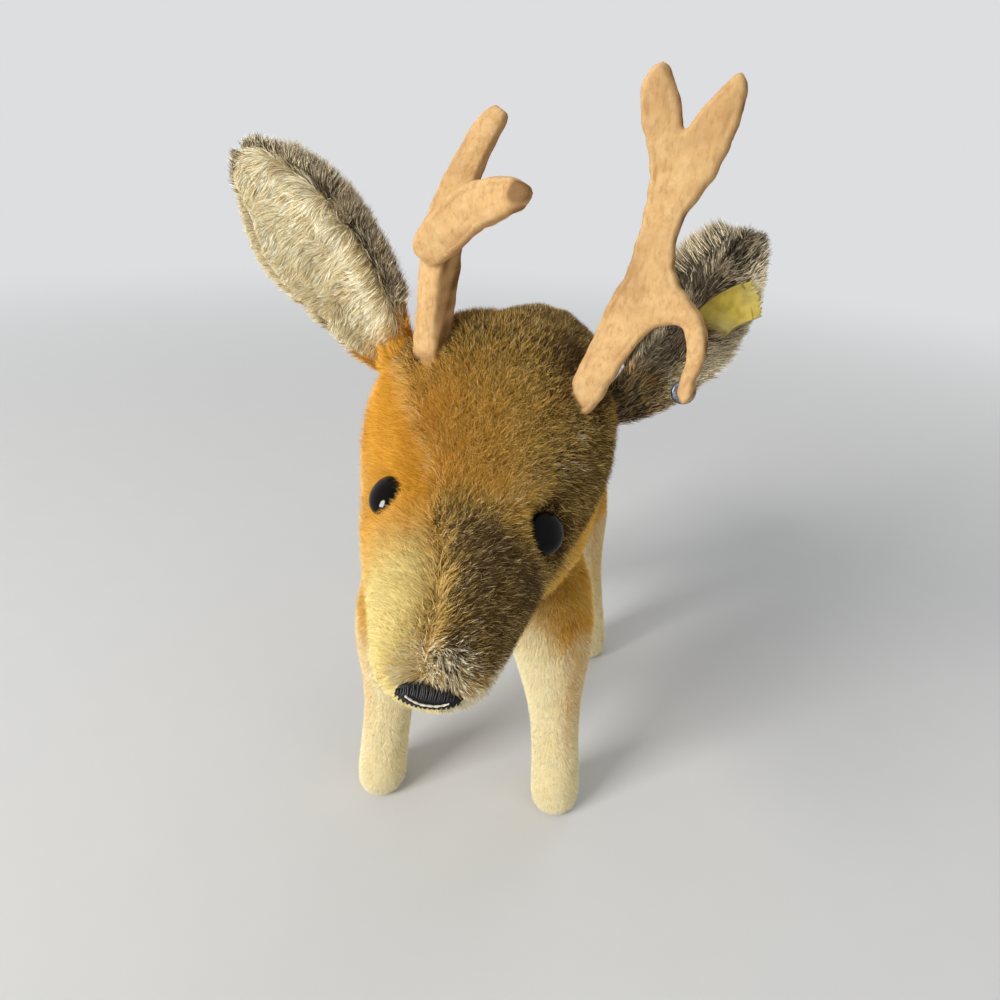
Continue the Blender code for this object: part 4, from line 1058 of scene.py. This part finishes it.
def leftAntler(name):
    # two flat felt shapes sewn together round an outline and filled, along a gently bent surface
    nodePlaces = cornersOf(nodes["antler_left"].data)[0] / mm
    centre = nodePlaces.mean(axis=0)
    out = mainAxes(nodePlaces)[2]
    out = out * -np.sign(out @ np.array(ahead))
    tall = unit(np.array([0, 0, 1.0]) - out * out[2])
    wide = np.cross(tall, out)

    def flattened(spots):
        return np.stack([(spots - centre) @ wide, (spots - centre) @ tall], axis=-1)

    flat = flattened(nodePlaces)
    rows = np.column_stack([np.ones(len(flat)), flat, flat ** 2, flat[:, 0] * flat[:, 1]])
    fit = np.linalg.lstsq(rows, (nodePlaces - centre) @ out, rcond=None)[0]
    heights, forward = antlerValues["foot"]

    def bent(flat):
        u, v = flat[..., 0], flat[..., 1]
        surface = fit[0] + fit[1] * u + fit[2] * v + fit[3] * u * u + fit[4] * v * v + fit[5] * u * v
        return surface + forward * ramp(v, *heights)

    outline = []
    for across, down in antlerValues["outline"]:
        spot = onPlane(across, down, centre, out)
        for _ in range(6):  # onto the bent surface
            spot = onPlane(across, down, centre + out * bent(flattened(spot)), out)
        outline.append(flattened(spot))
    outline = np.array(outline)
    for _ in range(2):  # its corners cut
        after = np.roll(outline, -1, axis=0)
        outline = np.stack([0.75 * outline + 0.25 * after, 0.25 * outline + 0.75 * after], axis=1).reshape(-1, 2)
    low, high = outline.min(axis=0) - 1, outline.max(axis=0) + 1
    across, up = (np.arange(low[axis], high[axis], antlerValues["grid"]) for axis in (0, 1))
    grid = np.stack(np.meshgrid(across, up, indexing="ij"), axis=-1)
    nearest, inner = toOutline(grid, outline)
    rounded = 1 - np.clip(nearest / antlerValues["rounding"], 0, 1)
    deep = np.maximum(np.sqrt(1 - rounded ** 2), 0.1) * antlerValues["half"]
    middle = bent(grid)
    build = bmesh.new()
    corners = {}
    for i, j in zip(*np.nonzero(inner)):
        spot = centre + grid[i, j, 0] * wide + grid[i, j, 1] * tall
        for side in (1, -1):
            corners[i, j, side] = build.verts.new((spot + out * (middle[i, j] + side * deep[i, j])) * mm)
    for i in range(len(across) - 1):
        for j in range(len(up) - 1):
            ring = [(i, j), (i + 1, j), (i + 1, j + 1), (i, j + 1)]
            if all(inner[spot] for spot in ring):
                build.faces.new([corners[(*spot, 1)] for spot in ring])
                build.faces.new([corners[(*spot, -1)] for spot in reversed(ring)])
    for lone in [vertex for vertex in build.verts if not vertex.link_faces]:
        build.verts.remove(lone)
    bmesh.ops.bridge_loops(build, edges=[edge for edge in build.edges if len(edge.link_faces) == 1])

    def stitched(places):
        return hump(toOutline(flattened(places / mm), outline)[0], antlerValues["stitchIn"], 0.55)

    bmesh.ops.recalc_face_normals(build, faces=build.faces)
    return builtPiece(name, build), stitched


def rightAntler(name):
    # boxy felt limbs along middle lines set from the photograph
    build = bmesh.new()
    places, stitches, ringSteps = [], [], antlerValues["ringSteps"]
    for limb in antlerValues["limbs"]:
        limb = np.array(limb, float)
        steps = np.linspace(0, len(limb) - 1, 12 * (len(limb) - 1) + 1)
        limb = np.column_stack([np.interp(steps, range(len(limb)), limb[:, column]) for column in range(6)])
        limb = evened(limb, 5)
        middle = np.array([fromPhoto(*station[:3]) for station in limb])
        along = unit(np.gradient(middle, axis=0))
        rings = []
        for spot, way, (_, _, _, half, thick, turn) in zip(middle, along, limb):
            toward = cameraPlace - spot
            toward = unit(toward - way * (toward @ way))
            across = np.cross(way, toward)
            turn = math.radians(turn)
            front = toward * math.cos(turn) - across * math.sin(turn)
            over = across * math.cos(turn) + toward * math.sin(turn)
            ring = []
            for step in range(ringSteps):
                angle = 2 * math.pi * step / ringSteps
                x, y = (math.copysign(abs(part) ** 0.45, part) for part in (math.cos(angle), math.sin(angle)))
                place = (spot + over * half * x + front * thick * y) * mm
                ring.append(build.verts.new(place))
                places.append(place)
                stitches.append(float(hump(abs(x), 0.62, 0.13)) * (abs(y) > 0.85))
            rings.append(ring)
        for lower, upper in zip(rings, rings[1:]):
            for step in range(ringSteps):
                after = step - ringSteps + 1
                build.faces.new((lower[step], lower[after], upper[after], upper[step]))
        build.faces.new(rings[0])
        build.faces.new(rings[-1])
    near = KDTree(len(places))
    for number, place in enumerate(places):
        near.insert(place, number)
    near.balance()

    def stitched(spots):
        return np.array([stitches[near.find(spot)[1]] for spot in spots])

    bmesh.ops.recalc_face_normals(build, faces=build.faces)
    return builtPiece(name, build), stitched


for number, (antler, made) in enumerate((("left", leftAntler), ("right", rightAntler))):
    name = "antler" + antler.title()
    skin, stitched = made(name + "Felt")
    remeshed(skin, antlerValues["voxel"], 3)
    places, normals = cornersOf(skin.data)
    lumps = ripples(places, 3.0 * mm, 201 + number)
    wander = 0.55 + 0.45 * np.clip(ripples(places, 6 * mm, 203)[:, 0], -1, 1)
    line = stitched(places) * wander
    movePoints(skin, places + normals * ((0.14 * lumps[:, 1] - 0.34 * line) * mm)[:, None])
    places, normals = cornersOf(skin.data)
    edges = np.array([edge.vertices[:] for edge in skin.data.edges])
    pull = np.zeros((len(places), 4))
    for first, second in (edges.T, edges[:, ::-1].T):
        np.add.at(pull, first, np.column_stack([places[second] - places[first], np.ones(len(first))]))
    hollow = (pull[:, :3] * normals).sum(axis=1) / pull[:, 3] / mm
    shaded = ramp(normals @ np.array(cameraRight), 0.35, 0.9)  # painted shade: browner on faces turned to the camera's right, away from the key lamp
    # the mask holds the seams' own stitched line, and painted shade in hollows and on faces turned from the key lamp
    seamAndShade = np.maximum.reduce([
        0.55 * ramp(hollow, 0.012, 0.06), 0.38 * line, 0.95 * shaded * (0.85 + 0.15 * lumps[:, 2]),
    ])
    if antler == "right":  # painted shade: the forward tine's creased end is darkened
        fromTip = np.linalg.norm(places / mm - fromPhoto(*antlerValues["limbs"][1][-2][:3]), axis=1)
        seamAndShade = np.maximum(seamAndShade, 0.9 * ramp(fromTip + 0.8 * lumps[:, 0], 4.2, 2.4))
    addField(skin.data, "feltSeam", seamAndShade)
    addField(skin.data, "pileReach", np.full(len(places), 0.4))
    dress(skin, felt, antler + "_antler", "antler_felt", "antler_" + antler, "antler_wire_" + antler)

    def napGrain(points, normals):
        flow = ripples(points, 2 * mm, 205) + 1e-3
        return evenLook(flow, 30.0, antlerValues["napLength"], np.zeros((len(points), 4)), 0.0)

    nap = growPile(name + "Nap", skin, napGrain, 211 + 10 * number, [headTree], [], **antlerValues["nap"])
    dress(nap, felt, antler + "_antler", "antler_felt")
print("antlers felted")


# Glass eyes
eyeValues = {
    # the rim colour is a painted sheen at the glass's edges
    "glass": (0.002, 0.002, 0.002), "rim": (0.012, 0.009, 0.007),
    # each one's turn about the head's rise, how far forward it sits and its size against the solid's
    "left": {"turn": -20, "out": 0.7, "grown": 1.07}, "right": {"turn": 0, "out": 0.0, "grown": 1.0},
}
eyeFinish = Finish("blackGlass")
# painted sheen: the glass's colour turns a little paler where it is seen edge-on
edgeOn = eyeFinish.add("ShaderNodeLayerWeight", {}, {"Blend": 0.35}, out=1)
smudge = eyeFinish.noise(300, 3)
eyeFinish.shaded(
    Base_Color=eyeFinish.blend(edgeOn, eyeValues["glass"], eyeValues["rim"]),
    Roughness=0.05 + 0.05 * smudge.between(0.5, 0.8), IOR=1.4, Specular_IOR_Level=0.14,
)
for side in ("left", "right"):
    eye = mergedCopy("eyeGlass" + side.title(), "eye_" + side)
    applied(eye, "SUBSURF", levels=2, render_levels=2)
    places, _ = cornersOf(eye.data)
    centre, look = places.mean(axis=0), eyeValues[side]
    turned = np.array(Matrix.Rotation(math.radians(look["turn"]), 3, Vector(headValues["rise"])))
    places = centre + look["grown"] * (places - centre) @ turned.T + headAxes[1] * -look["out"] * mm
    movePoints(eye, places)
    smoothed(eye)
    dress(eye, eyeFinish.material, "root", "black_glass", "eye_" + side)
print("eyes set")


# Threads laid over the nose, side by side
def threads(name, lines, radius):
    curve = bpy.data.curves.new(name, "CURVE")
    curve.dimensions = "3D"
    curve.bevel_depth = radius
    curve.bevel_resolution = 3
    curve.use_fill_caps = True
    for line in lines:
        spline = curve.splines.new("POLY")
        spline.points.add(len(line) - 1)
        for point, place in zip(spline.points, line):
            point.co = (*place, 1)
    pick(linked(name, curve))
    bpy.ops.object.convert(target="MESH")
    smoothed(bpy.context.object)
    return bpy.context.object


noseValues = {
    "stitches": 44, "points": 9, "thread": 0.15, "black": (0.004, 0.004, 0.005), "grey": (0.018, 0.017, 0.017),
}
nosePlaces, _ = cornersOf(nodes["nose_embroidery"].data)
noseCentre = (nosePlaces.max(axis=0) + nosePlaces.min(axis=0)) / 2
noseSide, noseUp, noseOut = (
    -axis if axis @ way < 0 else axis
    for axis, way in zip(mainAxes(nosePlaces), (headAxes[0], headAxes[2], -headAxes[1]))
)
noseHalf = [np.abs((nosePlaces - noseCentre) @ axis).max() for axis in (noseSide, noseUp, noseOut)]

threadFinish = Finish("blackThread")
strandNoise = threadFinish.noise(900, 3)
threadFinish.shaded(
    bump=(strandNoise, 0.5, 0.1 * mm),
    Base_Color=threadFinish.blend(strandNoise.between(0.4, 0.75), noseValues["black"], noseValues["grey"]),
    Roughness=0.55, Specular_IOR_Level=0.22,
)
nosePad = mergedCopy("nosePad", "nose_embroidery")
applied(nosePad, "SUBSURF", levels=1, render_levels=1)
dress(nosePad, threadFinish.material, "root", "black_thread", "nose_embroidery")
stitchLines = []
chance = np.random.default_rng(301)
for number in range(noseValues["stitches"]):
    over = -0.97 + 1.94 * number / (noseValues["stitches"] - 1)
    tall = math.sqrt(1 - over * over)
    line = []
    for step in range(noseValues["points"]):
        up = -1 + step * 2 / (noseValues["points"] - 1)
        if step in (0, noseValues["points"] - 1):  # the ends come out unevenly, most of all along the top
            up = up * (0.96 + 0.05 * chance.normal() if step == 0 else 0.86 + 0.12 * chance.normal())
        up = max(-1, min(1, up))
        deep = math.sqrt(max(0.0, 1 - up * up)) * tall
        slant = 0.06 * up * math.sin(number * 2.1 + 0.6 * math.sin(number))
        place = (
            noseCentre + noseSide * noseHalf[0] * (over + slant) + noseUp * noseHalf[1] * up * tall
            + noseOut * (noseHalf[2] * deep + 0.10 * mm)
        )
        line.append(place)
    stitchLines.append(line)
stitches = threads("noseStitches", stitchLines, noseValues["thread"] * mm)
dress(stitches, threadFinish.material, "root", "black_thread")

# Pale mouth thread, two plies laid round each other along the node's own line
mouthValues = {
    "rings": 8, "steps": 41, "twist": 7 * math.pi, "apart": 0.10, "ply": 0.11,
    "pale": (0.86, 0.80, 0.66), "deep": (0.62, 0.54, 0.38),
}
mouthPlaces, _ = cornersOf(nodes["mouth_thread"].data)
order = np.argsort((mouthPlaces - mouthPlaces.mean(axis=0)) @ mainAxes(mouthPlaces)[0])
rings = np.array([mouthPlaces[group].mean(axis=0) for group in np.array_split(order, mouthValues["rings"])])
stations = np.linspace(0, len(rings) - 1, mouthValues["steps"])
mouthLine = np.column_stack([np.interp(stations, range(len(rings)), rings[:, axis]) for axis in range(3)])
plies = []
for ply in (0, math.pi):
    turn = np.linspace(0, mouthValues["twist"], mouthValues["steps"])[:, None] + ply
    plies.append(mouthLine + mouthValues["apart"] * mm * (np.cos(turn) * noseUp + np.sin(turn) * noseOut))
mouth = threads("mouthThread", plies, mouthValues["ply"] * mm)
paleThread = Finish("paleThread")
fibres = paleThread.noise(1200, 3)
paleThread.shaded(
    bump=(fibres, 0.4, 0.1 * mm), Roughness=0.7, Sheen_Weight=0.1,
    Base_Color=paleThread.blend(fibres.between(0.35, 0.7), mouthValues["pale"], mouthValues["deep"]),
)
dress(mouth, paleThread.material, "root", "cream_thread", "mouth_thread")
print("nose stitched")


# Ribbon under the stud, blank, its free end frayed
ribbonBase, ribbonOut = np.array(ribbonValues["base"]), np.array(ribbonValues["out"])
line = np.array(ribbonValues["line"])
spots = np.array([  # onto the plane of the ear's back at the stud, then off it
    onPlane(across, down, ribbonBase + ribbonOut * lift, ribbonOut) for _, across, down, lift, _ in line
])
shares = np.linspace(line[0, 0], line[-1, 0], ribbonValues["rows"] + 1)
middle = np.column_stack([np.interp(shares, line[:, 0], spots[:, axis]) for axis in range(3)])
turns = np.interp(shares, line[:, 0], line[:, 4])
middle = evened(middle, 40)
ribbonAlong = unit(np.gradient(middle, axis=0))
stretch = ribbonValues["length"] / np.linalg.norm(np.diff(middle, axis=0), axis=1).sum()
middle = ribbonBase + (middle - ribbonBase) * stretch
deselectAll()
bpy.ops.mesh.primitive_grid_add(x_subdivisions=ribbonValues["columns"], y_subdivisions=ribbonValues["rows"], size=1)
ribbon = bpy.context.object
ribbon.name = "earRibbon"
ribbonMap = ribbon.data.uv_layers.active
for vertex in ribbon.data.vertices:
    across, row = vertex.co.x, round((vertex.co.y + 0.5) * ribbonValues["rows"])
    share, way = shares[row], ribbonAlong[row]
    turn = math.radians(turns[row])
    side = np.array(ribbonValues["side"])
    side = side - way * (side @ way)
    side = side / np.linalg.norm(side)
    face = np.cross(side, way)
    face = face * np.sign(face @ ribbonOut)
    side = side * math.cos(turn) + face * math.sin(turn)
    free = max(0.0, share - ribbonValues["freeFrom"]) / (shares[-1] - ribbonValues["freeFrom"])
    curl = free * (1.5 * (2 * across) ** 2 + 0.5 * math.sin(share * 16 + across * 3)) - 0.12 * (1 - free)
    fray = 0.8 * math.sin(across * 61) * math.sin(across * 23 + 1) * (row > ribbonValues["rows"] - 2)
    fray = fray - 1.6 * abs(across) * (row > ribbonValues["rows"] - 6) * free
    place = middle[row] + side * across * ribbonValues["width"] * (1 - 0.10 * free) + face * curl + way * fray
    under = float(ramp(np.array(share), 0.50, 0.34))  # flat on the ear's back, under its pile
    if under > 0:
        spot, out, _, _ = earBackTrees["left"].find_nearest(Vector(place) * mm)
        place = place * (1 - under) + np.array(spot / mm + out * 0.45) * under
    vertex.co = Vector(place) * mm
ribbon.data.update()
ribbonFinish = Finish("yellowRibbon")
ribbonUv = ribbonFinish.add("ShaderNodeUVMap", {"uv_map": ribbonMap.name})
stretched = ribbonFinish.add("ShaderNodeMapping", {}, {"Vector": ribbonUv, "Scale": (34.0, 120.0, 1.0)})
warp, weft = (
    ribbonFinish.add("ShaderNodeTexWave", {"bands_direction": way}, {"Vector": stretched, "Scale": 0.32})
    for way in ("X", "Y")
)
weave = warp.maths("MAXIMUM", weft)
faded = ribbonFinish.noise(420, 4)
tone = ribbonFinish.blend(faded.between(0.35, 0.75), ribbonValues["yellow"], ribbonValues["deep"])
ribbonFinish.shaded(
    bump=(weave, 0.45, 0.12 * mm), Base_Color=ribbonFinish.blend(weave * 0.3, tone, ribbonValues["weave"]),
    Roughness=0.52,
)
applied(ribbon, "SOLIDIFY", thickness=ribbonValues["thick"] * mm, offset=0)
smoothed(ribbon)
dress(ribbon, ribbonFinish.material, "ribbon", "yellow_ribbon", "ear_ribbon")
print("ribbon hung")


# Stud cap, washer and the wires that hold the toy: the frame's own solids, finished
metalValues = {  # tone, worn edge, roughness
    "stud": ((0.10, 0.11, 0.13), (0.42, 0.50, 0.58), 0.22), "wire": ((0.45, 0.44, 0.42), (0.25, 0.20, 0.16), 0.35),
}


def metalFinish(name, tone, edge, rough):
    finish = Finish(name)
    scratch = finish.noise(700, 4, rough=0.7)
    return finish.shaded(
        bump=(scratch, 0.15, 0.05 * mm), Base_Color=finish.blend(scratch.between(0.45, 0.8), tone, edge),
        Metallic=1.0, Roughness=rough + 0.2 * scratch,
    )


studFinish = metalFinish("studMetal", *metalValues["stud"])
wireFinish = metalFinish("steelWire", *metalValues["wire"])
stud = mergedCopy("studCap", "ear_stud")
applied(stud, "BEVEL", width=0.08 * mm, segments=2, limit_method="ANGLE", angle_limit=math.radians(35))
pick(stud)
bpy.ops.object.shade_smooth_by_angle(angle=math.radians(40))
dress(stud, studFinish, "left_ear", "stud_metal", "ear_stud")
for name, node in nodes.items():
    if name == "ear_stud_washer" or "wire" in name and "antler" not in name:
        node.data.materials.clear()
        node.data.materials.append(studFinish if name == "ear_stud_washer" else wireFinish)
print("metal finished")
